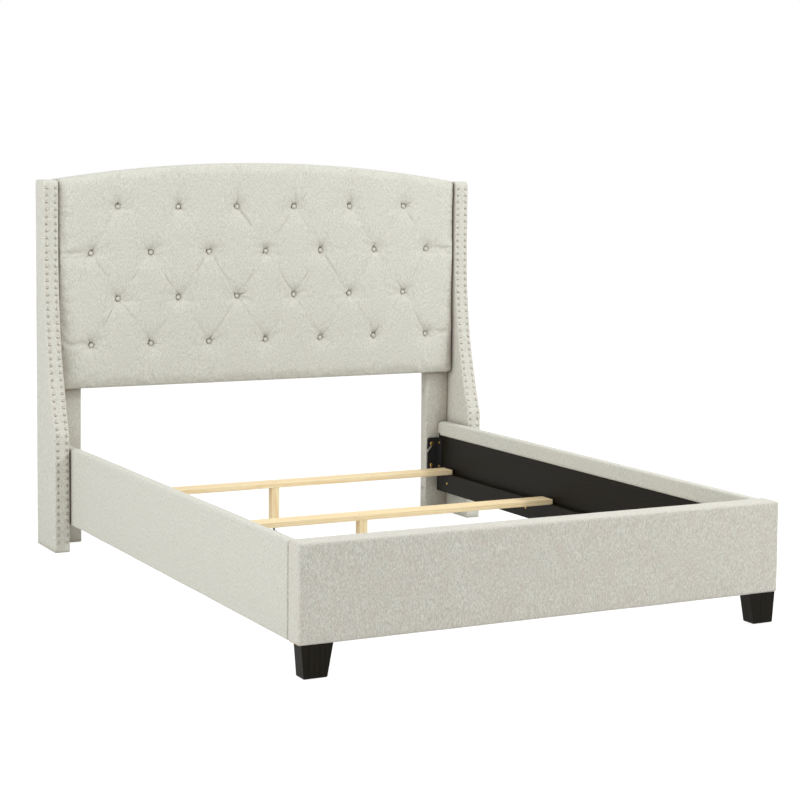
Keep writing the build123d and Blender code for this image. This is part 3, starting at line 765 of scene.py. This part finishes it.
def make_wing(side, seed):
    low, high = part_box(f"{side}_wing_cover")
    points, faces, outward = soft_box(low, high, wing_edge, (7 * mm, 14 * mm, 6.5 * mm))
    tighten_foot(points, outward, wing_edge - wing_hem)
    # These three are views of the points, so a change to one of them moves the points
    x, y, z = points.T
    span = high.y - low.y - 2 * wing_edge
    y += ramp(high.y - wing_edge - y, span) * (wing_front(z) - low.y)
    outer_face = max(abs(low.x), abs(high.x))
    drop = rounding(wing_corner - (y - front_top), wing_corner)
    drop += rounding(abs(x) - (outer_face - wing_shoulder), wing_shoulder)
    z -= drop * ramp(z - (high.z - wing_blend), wing_blend)
    nails = [solid.mean(0) for solid in solids_of(f"{side}_wing_nailheads")]
    points = nail_dimples(slack(points, outward, 0.7 * mm, 0.2 * mm, seed), outward, nails)
    cover = mesh_piece(f"{side}_wing_upholstery", points, faces, headboard_cloth)
    dressed(cover, "woven_fabric", f"{side}_wing_cover")
    forms = []
    for nail in nails:
        axis = nail_axis(nail)
        forms.append(turned(nail_profile, Vector(nail) - axis * nail_seat, axis, nail_sides))
    heads = gathered(f"{side}_wing_nails", forms, nickel)
    dressed(heads, "nickel", f"{side}_wing_nailheads")
    print(side, "wing:", len(points), "points,", len(nails), "nails")


for side, seed in (("left", 3.0), ("right", 5.0)):
    make_wing(side, seed)

# %% [markdown]
# ## The tufted panel
#
# The panel is foam over plywood, with cloth drawn down at 26 buttons. Where the cloth is
# pulled in it has to fold, so short puckers fan out above each button, soft valleys run
# from button to button, and here and there the fullness is tucked into a thin crease.
# The panel is one grid that follows the arch. Its edges roll over on a round, and the
# tufting is added to the depth as a sum of simple pulls. That gives the places where the
# cloth is held, but its fullness between them is not a formula: a short cloth simulation
# blows the cloth up against those places, and only its swell is taken over, up to a limit.

# %% Outline of the panel
panel_rise = 66 * mm
panel_low, panel_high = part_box("tufted_cushion")
panel_half = panel_high.x
arch_radius = (panel_half**2 + panel_rise**2) / (2 * panel_rise)
roll_radius = panel_high.y - panel_low.y
grid_step = 5.8 * mm
roll_steps = 6
side_fall = 9 * mm
side_reach = 26 * mm
side_swell = 1.5 * mm
edge_power = 6


def arch(x):
    """The height of the panel's top edge."""
    return panel_high.z - arch_radius + np.sqrt(arch_radius**2 - np.clip(x, -panel_half, panel_half) ** 2)


def side_lines(length):
    """Grid lines across one side: how far each leans over the rolled edge, and its way along the flat."""
    leans = [math.cos(math.pi / 2 * k / roll_steps) for k in range(roll_steps)]
    count = round((length - 2 * roll_radius) / grid_step)
    flat = [i / count for i in range(count + 1)]
    lean = leans + [0] * len(flat) + [-v for v in leans[::-1]]
    return np.array(lean), np.array([0] * roll_steps + flat + [1] * roll_steps)


def panel_grid():
    """The smooth panel as a grid of X, Y and Z, and how far round its edge each point is, 0 to 1."""
    half = panel_half + side_swell
    lean_x, way_x = side_lines(2 * half)
    lean_z, way_z = (line[:, None] for line in side_lines(panel_high.z - panel_low.z))
    fullness = (abs(lean_x) ** edge_power + abs(lean_z) ** edge_power) ** (1 / edge_power)
    shrink = roll_radius / np.maximum(fullness, 1)
    x = -half + roll_radius + way_x * 2 * (half - roll_radius) - lean_x * shrink
    top = arch(x) - roll_radius
    bottom = panel_low.z + roll_radius
    z = bottom + way_z * (top - bottom) - lean_z * shrink
    fullness = np.minimum(fullness, 1)
    y = panel_high.y - roll_radius * (1 - fullness**edge_power) ** (1 / edge_power)
    y = y + side_fall * hill(half - abs(x), side_reach) * (1 - fullness)
    return x, y, z, fullness


# %% The seats of the buttons in the cloth
button_places = [solid.mean(0) for solid in button_seats]
button_face = min(solid[:, 1].min() for solid in button_seats)
cup_radius = 9 * mm
cup_depth = button_face - panel_low.y + 3.5 * mm
well_reach = 4 * mm
hollow_reach = 24 * mm
hollow_share = 0.3
folds_each = 8
rows_z = sorted({round(float(place[2]), 3) for place in button_places}, reverse=True)
print("button rows at", rows_z, "cup depth", round(cup_depth / mm, 1), "mm")


def cups(x, z):
    """How deep the buttons hold the cloth behind the front, and the distance past a button."""
    nearest = np.full_like(x, 1.0)
    for place in button_places:
        nearest = np.minimum(nearest, np.hypot(x - place[0], z - place[2]))
    past = np.clip(nearest - cup_radius, 0, None)
    hollow = np.exp(-past / hollow_reach)
    return cup_depth * (hollow_share * hollow + (1 - hollow_share) * hill(past, well_reach)), past


def fans():
    """Short folds that start at each button, most of them upwards: their turn, size, width and reach."""
    chance = random.Random(4)
    made = []
    for _ in button_places:
        ways = [chance.gauss(math.pi / 2, 0.8) if chance.random() < 0.75 else chance.uniform(-3, 0)
                for _ in range(folds_each)]
        made.append([(way, chance.uniform(2.0, 4.5) * mm, chance.uniform(1.6, 2.8) * mm,
                      chance.uniform(16, 38) * mm) for way in ways])
    return made


button_fans = fans()
drop_least, drop_most, widest = 0.12, 0.22, 0.2


def diagonals():
    """The pairs of buttons that a diagonal joins: in rows next to each other, and close enough."""
    return [
        (first, second) for first in button_places for second in button_places
        if drop_least < first[2] - second[2] < drop_most and abs(first[0] - second[0]) < widest
    ]


def from_diagonal(x, z, first, second):
    """How far along a diagonal each point is, 0 to 1, how far off it, and the diagonal's length."""
    run = np.array((second[0] - first[0], second[2] - first[2]))
    length = np.linalg.norm(run)
    along = ((x - first[0]) * run[0] + (z - first[2]) * run[1]) / length**2
    off = ((x - first[0]) * run[1] - (z - first[2]) * run[0]) / length
    return along, off, length


# %% Folds in the cloth
valley_depth = 1.5 * mm
valley_width = 0.022
valley_end = 0.02
crease_depth = 3.0 * mm
crease_width = 2.4 * mm
crease_flank = 7 * mm
crease_fades = (0.12, 0.2)
tuck_depth = 1.6 * mm
top_tuck_depth = 0.8 * mm


def valleys(x, z):
    """Soft valleys from button to button."""
    depth = np.zeros_like(x)
    for first, second in diagonals():
        along, off, length = from_diagonal(x, z, first, second)
        between = np.clip(along, 0, 1)
        inside = hill((along - between) * length, valley_end)
        soft = (0.6 + 0.4 * np.cos(full_turn * between)) * inside
        depth = np.maximum(depth, valley_depth * soft * hill(off, valley_width))
    return depth


def creases(x, z):
    """Thin folds along parts of the diagonals."""
    chance = random.Random(11)
    depth = np.zeros_like(x)
    for first, second in diagonals():
        along, off, _ = from_diagonal(x, z, first, second)
        lower = first[2] < rows_z[1] + 0.01
        strong = chance.random() < (0.85 if lower else 0.35)
        size = chance.uniform(0.6, 1.0) if strong else chance.uniform(0.0, 0.35)
        start = chance.choice((0.06, 0.12, 0.4))
        end = min(start + chance.uniform(0.3, 0.8), 0.95)
        fade = ramp(along - start, crease_fades[0]) * ramp(end - along, crease_fades[1])
        bend = off + 2 * mm * np.sin(along * 5 + chance.uniform(0, 6))
        fold = hill(bend, crease_width) + 0.4 * np.exp(-abs(bend) / crease_flank)
        depth += crease_depth * size * fade * fold
    return depth


def puckers(x, z):
    """The fans of short folds, as depth."""
    depth = np.zeros_like(x)
    for place, fan in zip(button_places, button_fans):
        out_x, out_z = x - place[0], z - place[2]
        radius = np.hypot(out_x, out_z)
        angle = np.arctan2(out_z, out_x)
        for turn, size, width, reach in fan:
            off = radius * np.angle(np.exp(1j * (angle - turn)))
            depth += size * hill(radius, reach) * hill(off, width)
    return depth


def tucks(x, z):
    """Pleats that carry the fullness from the outer buttons round the edge of the panel."""
    depth = np.zeros_like(x)
    for row in rows_z[1::2]:
        outer = max(place[0] for place in button_places if abs(place[2] - row) < 1 * mm)
        step = z - row
        fold = np.where(step > 0, np.exp(-step / (5 * mm)), np.exp(step / (2 * mm)))
        depth += tuck_depth * ramp(abs(x) - outer - cup_radius, 8 * mm) * fold
    for row, way in ((rows_z[0], 1), (rows_z[-1], -1)):
        for place in button_places:
            if abs(place[2] - row) < 1 * mm:
                beyond = ramp(way * (z - row) - cup_radius, 10 * mm)
                depth += top_tuck_depth * beyond * hill(x - place[0], 3 * mm)
    return depth


# %% Letting the cloth swell


def read_points(mesh):
    """A mesh's points as rows of X, Y and Z."""
    flat = np.empty(len(mesh.vertices) * 3)
    mesh.vertices.foreach_get("co", flat)
    return flat.reshape(-1, 3)


def swell(piece, held, most, pressure, frames=18):
    """Blows a closed piece up like a cushion while some points are held, and stops each at a distance."""
    start = read_points(piece.data)
    pins = piece.vertex_groups.new(name="held")
    pins.add([int(i) for i in held], 1.0, "REPLACE")
    cloth = piece.modifiers.new("swell", "CLOTH")
    cloth.point_cache.frame_end = frames
    rules = {
        "quality": 5, "vertex_group_mass": "held", "use_pressure": True, "uniform_pressure_force": pressure,
        "shrink_min": -0.02, "tension_stiffness": 25, "compression_stiffness": 25, "bending_stiffness": 0.3,
    }
    for rule, value in rules.items():
        setattr(cloth.settings, rule, value)
    cloth.settings.effector_weights.gravity = 0
    for frame_number in range(1, frames + 1):
        scene.frame_set(frame_number)
    ready = piece.evaluated_get(bpy.context.evaluated_depsgraph_get())
    move = read_points(ready.data) - start
    piece.modifiers.remove(cloth)
    piece.vertex_groups.clear()
    scene.frame_set(1)
    size = np.linalg.norm(move, axis=1)
    print("cloth moved", round(float(size.max()) / mm, 1), "mm at most, and",
          round(float(size.mean()) / mm, 2), "mm on average")
    move *= (np.tanh(size / most) * most / np.maximum(size, 1e-9))[:, None]
    piece.data.vertices.foreach_set("co", (start + move).ravel())


def refine(piece):
    """Halves the mesh once with smooth subdivision, then closes what is open."""
    step = piece.modifiers.new("refine", "SUBSURF")
    step.levels = 1
    step.render_levels = 1
    ready = piece.evaluated_get(bpy.context.evaluated_depsgraph_get())
    finer = bpy.data.meshes.new_from_object(ready)
    piece.modifiers.remove(step)
    work = bmesh.new()
    work.from_mesh(finer)
    bmesh.ops.holes_fill(work, edges=[edge for edge in work.edges if edge.is_boundary], sides=0)
    work.to_mesh(finer)
    work.free()
    piece.data = finer


# %% The panel itself
front_pad = 2.5 * mm
swell_limit = 6 * mm
swell_pressure = 3.0
edge_slack = 0.8 * mm
edge_pinch = 1.5 * mm
pinch_reach = 0.03


def grid_faces(grid):
    """Faces between the points of a grid, which is given as rows of their numbers."""
    corners = (grid[:-1, :-1], grid[:-1, 1:], grid[1:, 1:], grid[1:, :-1])
    return np.stack([corner.ravel() for corner in corners], 1).tolist()


def rim_of(grid):
    """The numbers round the edge of a grid, in order."""
    return np.concatenate([grid[0], grid[1:, -1], grid[-1, -2::-1], grid[-2:0:-1, 0]]).tolist()


def make_panel():
    x, y, z, fullness = panel_grid()
    flatness = 1 - fullness**2
    cup, past = cups(x, z)
    y = y - front_pad * flatness + cup + valleys(x, z) * flatness
    front = np.stack([v.ravel() for v in (x, y, z)], 1)
    grid = np.arange(x.size).reshape(x.shape)
    faces, rim = grid_faces(grid), rim_of(grid)
    for k in range(len(rim)):
        n = (k + 1) % len(rim)
        faces.append([rim[n], rim[k], grid.size + k, grid.size + n])
    back = front[rim] * (0.996, 1, 1)
    back[:, 1] = panel_high.y
    cushion = mesh_piece("tufted_panel", np.vstack([front, back]), faces, deep_painted_shade_cloth)
    held = np.flatnonzero((past.ravel() <= 0) | (fullness.ravel() > 0.9))
    held = np.concatenate([held, np.arange(len(front), len(front) + len(back))])
    swell(cushion, held, swell_limit, swell_pressure)
    refine(cushion)
    points = read_points(cushion.data)
    x, y, z = points.T
    front_facing = ramp(panel_high.y - 2 * mm - y, 10 * mm)
    y += (creases(x, z) + puckers(x, z) + tucks(x, z)) * front_facing
    y += (0.7 * mm * ripple(points, 0.1, 7.0) + 0.2 * mm * ripple(points, 0.026, 8.0)) * front_facing
    drawn = edge_slack * (1 + ripple(points, 0.09, 2.0))
    for row in rows_z[1::2]:
        drawn += edge_pinch * hill(z - row, pinch_reach)
    x -= np.sign(x) * drawn * ramp(abs(x) - panel_half + pinch_reach, pinch_reach)
    cushion.data.vertices.foreach_set("co", np.stack([x, y, z], 1).ravel())
    cushion.data.update()
    dressed(cushion, "woven_fabric", "tufted_cushion")
    print("panel:", len(points), "points")
    return cushion


panel = make_panel()

# %% [markdown]
# ## Covered buttons
#
# A covered button is a metal shell with a scrap of the same cloth pulled over it. It is a
# low dome with a soft shoulder. The panel's grid is too coarse for the small well that the
# button is pulled into, so each button brings a collar of gathered cloth, whose outer rim
# is laid on the panel by casting rays at it.

# %% Buttons
button_sides = 32
dome = in_mm([(0.4, 1.0), (2.8, 1.1), (5.2, 1.5), (7.2, 2.3), (8.2, 3.6), (8.4, 5.4), (8.0, 10.0)])
collar = in_mm([(10.6, 8.0), (11.4, 4.4), (12.4, 2.0), (14.0, 0.6), (16.0, -0.1), (18.0, 0.5)])
rim_radius = 17 * mm


def cloth_around(skin, place):
    """Where the panel's surface lies in a ring round a button."""
    found = []
    for angle in turns(button_sides):
        x = place[0] + rim_radius * math.cos(angle)
        z = place[2] + rim_radius * math.sin(angle)
        found.append(skin.ray_cast((x, panel_low.y - 0.1, z), (0, 1, 0))[0].y)
    return found


def button_form(place, fan, around, lean):
    """A covered button in its well: a dome, the gap round it, and the gathered cloth of the well's rim."""
    middle = sum(around) / button_sides
    points = []
    for radius, back in dome + collar:
        on_rim = (radius, back) in collar
        for angle, rim_level in zip(turns(button_sides), around):
            y = rim_level if on_rim else middle + lean * radius * math.cos(angle)
            for way, size, width, reach in fan if on_rim else ():
                off = radius * math.remainder(angle - way, full_turn)
                y += size * hill(off, width) * hill(radius, reach)
            out_x, out_z = radius * math.cos(angle), radius * math.sin(angle)
            points.append((place[0] + out_x, y + back, place[2] + out_z))
    faces = [[a, d, c, b] for a, b, c, d in ring_faces(len(dome + collar), button_sides)]
    faces.append(list(range(button_sides)))
    return points, faces


def make_buttons():
    chance = random.Random(23)
    skin = BVHTree.FromObject(panel, bpy.context.evaluated_depsgraph_get())
    forms = []
    for place, fan in zip(button_places, button_fans):
        around = cloth_around(skin, place)
        forms.append(button_form(place, fan, around, chance.uniform(-0.08, 0.08)))
    buttons = gathered("covered_buttons", forms, deep_painted_shade_cloth)
    dressed(buttons, "woven_fabric", "tuft_buttons")
    print("buttons:", len(forms))


make_buttons()

# %% [markdown]
# ## Round the edge of the headboard
#
# Behind the panel the cloth runs on over the frame's edge and turns onto the back, where it
# is stapled. A strip with a real thickness is carried along the outline: flat across the
# edge, round at the back corner, then a lip that lies against the frame.

# %% Edge of the headboard
band_low, band_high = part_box("headboard_side_band")
cloth_thickness = 2.6 * mm
lip = 24 * mm
rise_steps, crest_steps, under_steps = 50, 120, 80


def band_section():
    """The strip's section, as how far it lies inside the outline and its place in Y."""
    turn = 6 * mm
    outer = [(0, band_low.y), (0, (band_low.y + band_high.y) / 2), (0, band_high.y - turn)]
    outer += [
        (turn * (1 - math.cos(a)), band_high.y - turn + turn * math.sin(a))
        for a in (math.pi / 8, math.pi / 4, 3 * math.pi / 8, math.pi / 2)
    ]
    outer += [(lip * 0.6, band_high.y), (lip, band_high.y - 0.3 * mm)]
    inner = [(lip, band_high.y - 1.2 * mm), (turn, band_high.y - 1.4 * mm)]
    inner += [(cloth_thickness, band_high.y - turn), (cloth_thickness, band_low.y)]
    return outer + inner


def strip_along(route, inward):
    """A closed strip carried along a route of points in X and Z, with the inward direction at each."""
    section = band_section()
    count = len(section)
    points = []
    for (x, z), (in_x, in_z) in zip(route, inward):
        for inset, y in section:
            points.append((x + in_x * inset, y, z + in_z * inset))
    faces = ring_faces(len(route), count)
    faces.append(list(range(count)))
    faces.append([(len(route) - 1) * count + i for i in range(count)][::-1])
    return points, faces


def make_band():
    side_top = float(arch(np.array(panel_half)))
    rise = [band_low.z + (side_top - band_low.z) * i / rise_steps for i in range(rise_steps + 1)]
    crest = [panel_half - 2 * panel_half * i / crest_steps for i in range(1, crest_steps)]
    route = [(panel_half, z) for z in rise] + [(x, float(arch(np.array(x)))) for x in crest]
    route += [(-panel_half, z) for z in rise[::-1]]
    inward = [(-1, 0)] * rise_steps + [(-0.7, -0.7)]
    inward += [(-x / arch_radius, -math.sqrt(1 - (x / arch_radius) ** 2)) for x in crest]
    inward += [(0.7, -0.7)] + [(1, 0)] * rise_steps
    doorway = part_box("right_leg_post")[0].x - 3 * mm
    below = [(doorway - 2 * doorway * i / under_steps, band_low.z) for i in range(under_steps + 1)]
    strips = [strip_along(route, inward), strip_along(below, [(0, 1)] * len(below))]
    band = gathered("headboard_edge_cover", strips, headboard_cloth)
    dressed(band, "woven_fabric", "headboard_side_band")


make_band()

# %% [markdown]
# ## Legs, rails and footboard
#
# These are straight boards with a thin foam and cloth drawn tight, so a rounded box with a
# little slack in it is the right form. The rail is open on its inner side: the cloth turns
# over the top, comes down inside in a strip and is stapled to the black board. Points of
# the box's inner side below that strip are moved behind the board, which leaves the step.

# %% Leg covers
leg_tuck = 7 * mm

for side, seed in (("left", 9.0), ("right", 12.0)):
    low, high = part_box(f"{side}_leg_cover")
    high.z += leg_tuck
    points, faces, outward = soft_box(low, high, 5 * mm, (12 * mm, 12 * mm, 12 * mm))
    points = slack(points, outward, 0.5 * mm, 0.2 * mm, seed)
    leg = mesh_piece(f"{side}_leg_upholstery", points, faces, deep_painted_shade_cloth)
    dressed(leg, "woven_fabric", f"{side}_leg_cover")
    print(side, "leg: cloth from", round(low.z, 3), "to", round(high.z, 3), "m")

# %% Rail covers
rail_corner = 22 * mm
rail_heel = 10 * mm
seam_gap = 1.2 * mm
rail_swell = 4.5 * mm
swell_length = 0.11
wing_reach = wing_low.y - swell_length
rail_edge = 7 * mm
strip_height = 54 * mm
top_blend = 0.06
heel_blend = 0.04
foot_lines = (22 * mm, 30 * mm, 40 * mm)
near = 0.2 * mm


def make_rail(side, seed):
    low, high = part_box("right_rail_cover")
    board_low, board_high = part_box("right_rail_board")
    low.y += seam_gap
    strip_bottom = high.z - strip_height
    doubled = 0.5 * mm
    extra = (
        (board_high.x,),
        (board_low.y, board_low.y - doubled, board_high.y, board_high.y + doubled,
         *(low.y + line for line in foot_lines)),
        (board_low.z, board_low.z - doubled, strip_bottom, strip_bottom - doubled),
    )
    points, faces, outward = soft_box(low, high, rail_edge, (7 * mm, 14 * mm, 10 * mm), extra)
    x, y, z = points.T
    drop = rounding(y - (high.y - rail_corner), rail_corner)
    z -= drop * ramp(z - (high.z - top_blend), top_blend)
    rise = rounding(y - (high.y - rail_heel), rail_heel)
    z += rise * ramp(low.z + heel_blend - z, heel_blend)
    points = slack(points, outward, 0.8 * mm, 0.25 * mm, seed)
    x, y, z = points.T
    beside_wing = ramp(y - wing_reach, swell_length)
    x += rail_swell * beside_wing**2 * (3 - 2 * beside_wing) * (outward[:, 0] > 0.3)
    inner_side = outward[:, 0] < -0.3
    within = (y > board_low.y - near) & (y < board_high.y + near)
    open_side = inner_side & within & (z > board_low.z - near) & (z < strip_bottom - 0.1 * mm)
    x[open_side] = board_high.x + 0.4 * mm
    under = inner_side & (z <= board_low.z - near)
    x[under] = np.maximum(x[under], board_low.x + 0.3 * mm)
    if side == "left":
        x *= -1
        faces = [face[::-1] for face in faces]
    rail = mesh_piece(f"{side}_rail_upholstery", points, faces, headboard_cloth)
    dressed(rail, "woven_fabric", f"{side}_rail_cover", f"{side}_rail_foam")
    print(side, "rail:", len(points), "points")


for side, seed in (("left", 15.0), ("right", 18.0)):
    make_rail(side, seed)

# %% Footboard cover
footboard_edge = 7.5 * mm
footboard_belly = 1.2 * mm


def make_footboard():
    low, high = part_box("footboard_cover")
    high.y -= seam_gap
    points, faces, outward = soft_box(low, high, footboard_edge, (11 * mm, 9 * mm, 9 * mm))
    _, y, z = points.T
    middle_z = (low.z + high.z) / 2
    belly = np.clip(1 - ((z - middle_z) / (high.z - middle_z)) ** 2, 0, 1)
    y += footboard_belly * belly * np.sign(outward[:, 1]) * (abs(outward[:, 1]) > 0.9)
    points = slack(points, outward, 0.6 * mm, 0.25 * mm, 21.0)
    footboard = mesh_piece("footboard_upholstery", points, faces, base_cloth)
    dressed(footboard, "woven_fabric", "footboard_cover", "footboard_foam")
    print("footboard:", len(points), "points")


make_footboard()

# %% [markdown]
# ## The back
#
# A black non-woven cloth closes the back, stretched from edge to edge with a folded hem.
# The staples that hold it are too small to tell at this distance and are left out.

# %% Back cloth
back_low, back_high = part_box("headboard_back_cloth")
hem = 14 * mm
hem_rise = 1.0 * mm
margin_side, margin_foot, margin_top = 8 * mm, 6 * mm, 10 * mm
columns, rows = 111, 61


def make_back_cloth():
    half = back_high.x - margin_side
    bottom = back_low.z + margin_foot
    points = []
    for layer in (1, 0):
        for j in range(rows):
            for i in range(columns):
                x = -half + 2 * half * i / (columns - 1)
                top = float(arch(np.array(x))) - margin_top
                z = bottom + (top - bottom) * j / (rows - 1)
                edge = min(half - abs(x), z - bottom, top - z)
                wave = 0.35 * mm * noise.noise(Vector((x, 0, z)) / 0.09)
                lift = hem_rise if edge < hem else 0.0
                y = back_high.y + 0.7 * mm + lift + wave * min(1, edge / 0.05)
                points.append((x, y - (0 if layer else 0.5 * mm), z))
    grid = np.arange(rows * columns).reshape(rows, columns)
    rim = rim_of(grid)
    faces = grid_faces(grid[:, ::-1]) + grid_faces(grid + grid.size)
    for this, following in zip(rim, rim[1:] + rim[:1]):
        faces.append([this, following, grid.size + following, grid.size + this])
    cloth = mesh_piece("back_dust_cloth", points, faces, dust_cloth)
    dressed(cloth, "dust_cloth", "headboard_back_cloth")


make_back_cloth()

# %% [markdown]
# ## Fasteners
#
# The construction model gives every fastener six flats, which is enough to place it. Here
# those that show are turned again on their own axes: screws and bolts with a round head and
# a driver recess, pins with a plain head, and glides and levelling feet with a rounded rim.

# %% Turned fasteners


def pan_head(radius, height, recess, shank, length):
    """The profile of a screw from the tip of its shank to the floor of its recess."""
    head = [(radius, 0), (radius, 0.35 * height), (0.86 * radius, 0.75 * height), (0.6 * radius, height)]
    floor = [(recess, height), (0.7 * recess, 0.45 * height), (0.1 * recess, 0.3 * height)]
    return [(0.3 * shank, -length), (shank, -length + shank), (shank, 0)] + head + floor


def refit(name, node, material, slot, axis_of, profile_of, sides=20):
    """Turns each solid of a part again, on its own axis, with its head at its outer end."""
    forms = []
    for solid in solids_of(node):
        axis = Vector(axis_of(solid))
        reach = solid @ np.array(axis)
        middle = (solid.min(0) + solid.max(0)) / 2
        centre = Vector(middle) - axis * Vector(middle).dot(axis)
        radius = max(np.linalg.norm(solid - np.outer(reach, axis) - np.array(centre), axis=1))
        profile, head = profile_of(radius, reach.max() - reach.min())
        forms.append(turned(profile, centre + axis * (reach.max() - head), axis, sides))
    dressed(gathered(name, forms, material), slot, node)


def towards_middle(solid):
    """Screws and wing bolts point outwards, so their heads face the middle of the bed."""
    return (-1, 0, 0) if solid[:, 0].mean() > 0 else (1, 0, 0)


def towards_bay(solid):
    """Hook pins stand in the legs and the footboard, with their heads in the bay."""
    return (0, -1, 0) if solid[:, 1].mean() > 0 else (0, 1, 0)


def screw_form(radius, length):
    head = 2.0 * mm
    return pan_head(radius, head, 0.42 * radius, 2.1 * mm, length - head), head


def pin_form(radius, length):
    head = 3.5 * mm
    profile = [(1 * mm, head - length), (4 * mm, head - length + 2 * mm), (4 * mm, 0), (radius, 0)]
    return profile + [(radius, 0.7 * head), (0.85 * radius, head), (0.2 * radius, head)], head


def bolt_form(radius, length):
    head = 4.0 * mm
    return pan_head(radius, head, 0.45 * radius, 4 * mm, length - head), head


for side in ("left", "right"):
    refit(f"{side}_brass_screws", f"{side}_rail_screws", brass, "brass", towards_middle, screw_form)
refit("brass_hook_pins", "hook_pins", brass, "brass", towards_bay, pin_form, 28)
refit("leg_bolts", "wing_bolts", zinc, "zinc_steel", towards_middle, bolt_form, 28)

# %% Glides, levelling feet and slat screws
glide_profile = in_mm([(10.5, 0), (11.6, 0.5), (12, 1.4), (12, 3)])
plate_profile = [(12.5, 0), (13.8, 0.8), (14, 2), (13.2, 5.5), (11, 8)]
stem_profile = [(5.5, 8), (5.5, 10), (4, 10), (4, 44), (3, 45)]


def make_glides():
    """Round nail-on glides under the feet, the legs and the wings."""
    forms = []
    for solid in solids_of("floor_glides"):
        middle = Vector(solid.mean(0))
        middle.z = 0
        forms.append(turned(glide_profile, middle, (0, 0, 1), 28))
    glides = gathered("plastic_glides", forms, plastic)
    dressed(glides, "glide_plastic", "floor_glides")
    print("glides:", len(forms))


def make_leveller(n):
    """A levelling foot: its round plate, and the stem that screws into the leg."""
    low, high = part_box(f"leveller_{n}")
    middle = Vector(((low.x + high.x) / 2, (low.y + high.y) / 2, 0))
    form = turned(in_mm(plate_profile + stem_profile), middle, (0, 0, 1), 32)
    foot = gathered(f"levelling_foot_{n}", [form], plastic)
    dressed(foot, "glide_plastic", f"leveller_{n}", body=f"leveller_body_{n}")


make_glides()
for n in (1, 2, 3):
    make_leveller(n)
    dress(f"slat_fixings_{n}", zinc)

# %% [markdown]
# ## Studio
#
# The bed stands in front of nothing: a white floor that runs into white. The floor shows
# white to the camera by its own light, and only the light that reaches it from the lamps
# is added on top, so the bed keeps a faint shadow. For every other ray it is a pale matt
# floor that throws soft light up under the bed.

# %% Floor and backdrop
floor_reach = 30.0


def show_to_eye(tree, kind, others, for_eye):
    """Ends a tree: the eye sees one surface, also in a mirror, and light that bounces meets another."""
    rays = add(tree, "LightPath", {}, 0).node.outputs
    mirrored = maths(tree, "MAXIMUM", rays["Is Glossy Ray"], rays["Is Transmission Ray"])
    seen = maths(tree, "MAXIMUM", rays["Is Camera Ray"], mirrored)
    surface = add(tree, "MixShader", {0: seen, 1: others, 2: for_eye})
    feed(tree, surface, tree.nodes.new("ShaderNodeOutput" + kind).inputs["Surface"])


def make_studio_floor():
    material, tree, _ = finish("studio_white", 1.0)
    tree.nodes.clear()
    own = add(tree, "Emission", {"Color": (1, 1, 1, 1), "Strength": 0.9})
    lit = add(tree, "BsdfDiffuse", {"Color": (0.25, 0.25, 0.25, 1)})
    shown = add(tree, "AddShader", {0: own, 1: lit})
    bounce = add(tree, "BsdfDiffuse", {"Color": (0.72, 0.72, 0.71, 1)})
    show_to_eye(tree, "Material", bounce, shown)
    corners = [(floor_reach * x, floor_reach * y, 0) for x, y in ((-1, -1), (1, -1), (1, 1), (-1, 1))]
    floor = mesh_piece("studio_floor", corners, [[0, 1, 2, 3]], material, smooth=False)


def make_world():
    world = bpy.data.worlds.new("studio")
    world.use_nodes = True
    scene.world = world
    tree = world.node_tree
    tree.nodes.clear()
    room = add(tree, "Background", {"Color": (1, 1, 1, 1), "Strength": world_strength})
    white = add(tree, "Background", {"Color": (1, 1, 1, 1), "Strength": 1.0})
    show_to_eye(tree, "World", room, white)


# %% [markdown]
# ## Light
#
# The photograph is lit the plain catalogue way: a bright room, one broad source from the
# front left and high, one overhead, and weaker ones from the right to open the shadows.
# Large area lamps give that softness, and a small high one draws the folds. Their powers
# were solved as one sum: each lamp rendered alone, then mixed until a dozen plain patches of
# the bed came out as bright as they are in the photograph.

# %% Lamps
world_strength = 0.57


def softbox(name, place, aim, size, power):
    light = bpy.data.lights.new(name, "AREA")
    light.size = size
    light.energy = power
    lamp = bpy.data.objects.new(name, light)
    lamp.location = place
    lamp.rotation_euler = (Vector(aim) - Vector(place)).to_track_quat("-Z", "Y").to_euler()
    scene.collection.objects.link(lamp)


softbox("left_softbox", (-4.6, -0.6, 2.8), (0, 0.2, 0.6), 3.2, 100)
softbox("top_softbox", (-0.5, -0.2, 4.2), (0, 0.2, 0.4), 2.6, 16)
softbox("front_lamp", (2.6, -4.6, 3.0), (0, 0.6, 0.8), 0.8, 44)
softbox("right_softbox", (4.8, -1.5, 2.6), (0, 0.2, 0.6), 2.0, 36)
softbox("high_lamp", (3.6, -2.2, 4.4), (0.2, 0.8, 0.9), 0.35, 88)
make_world()
make_studio_floor()
print("lamps:", len(bpy.data.lights))
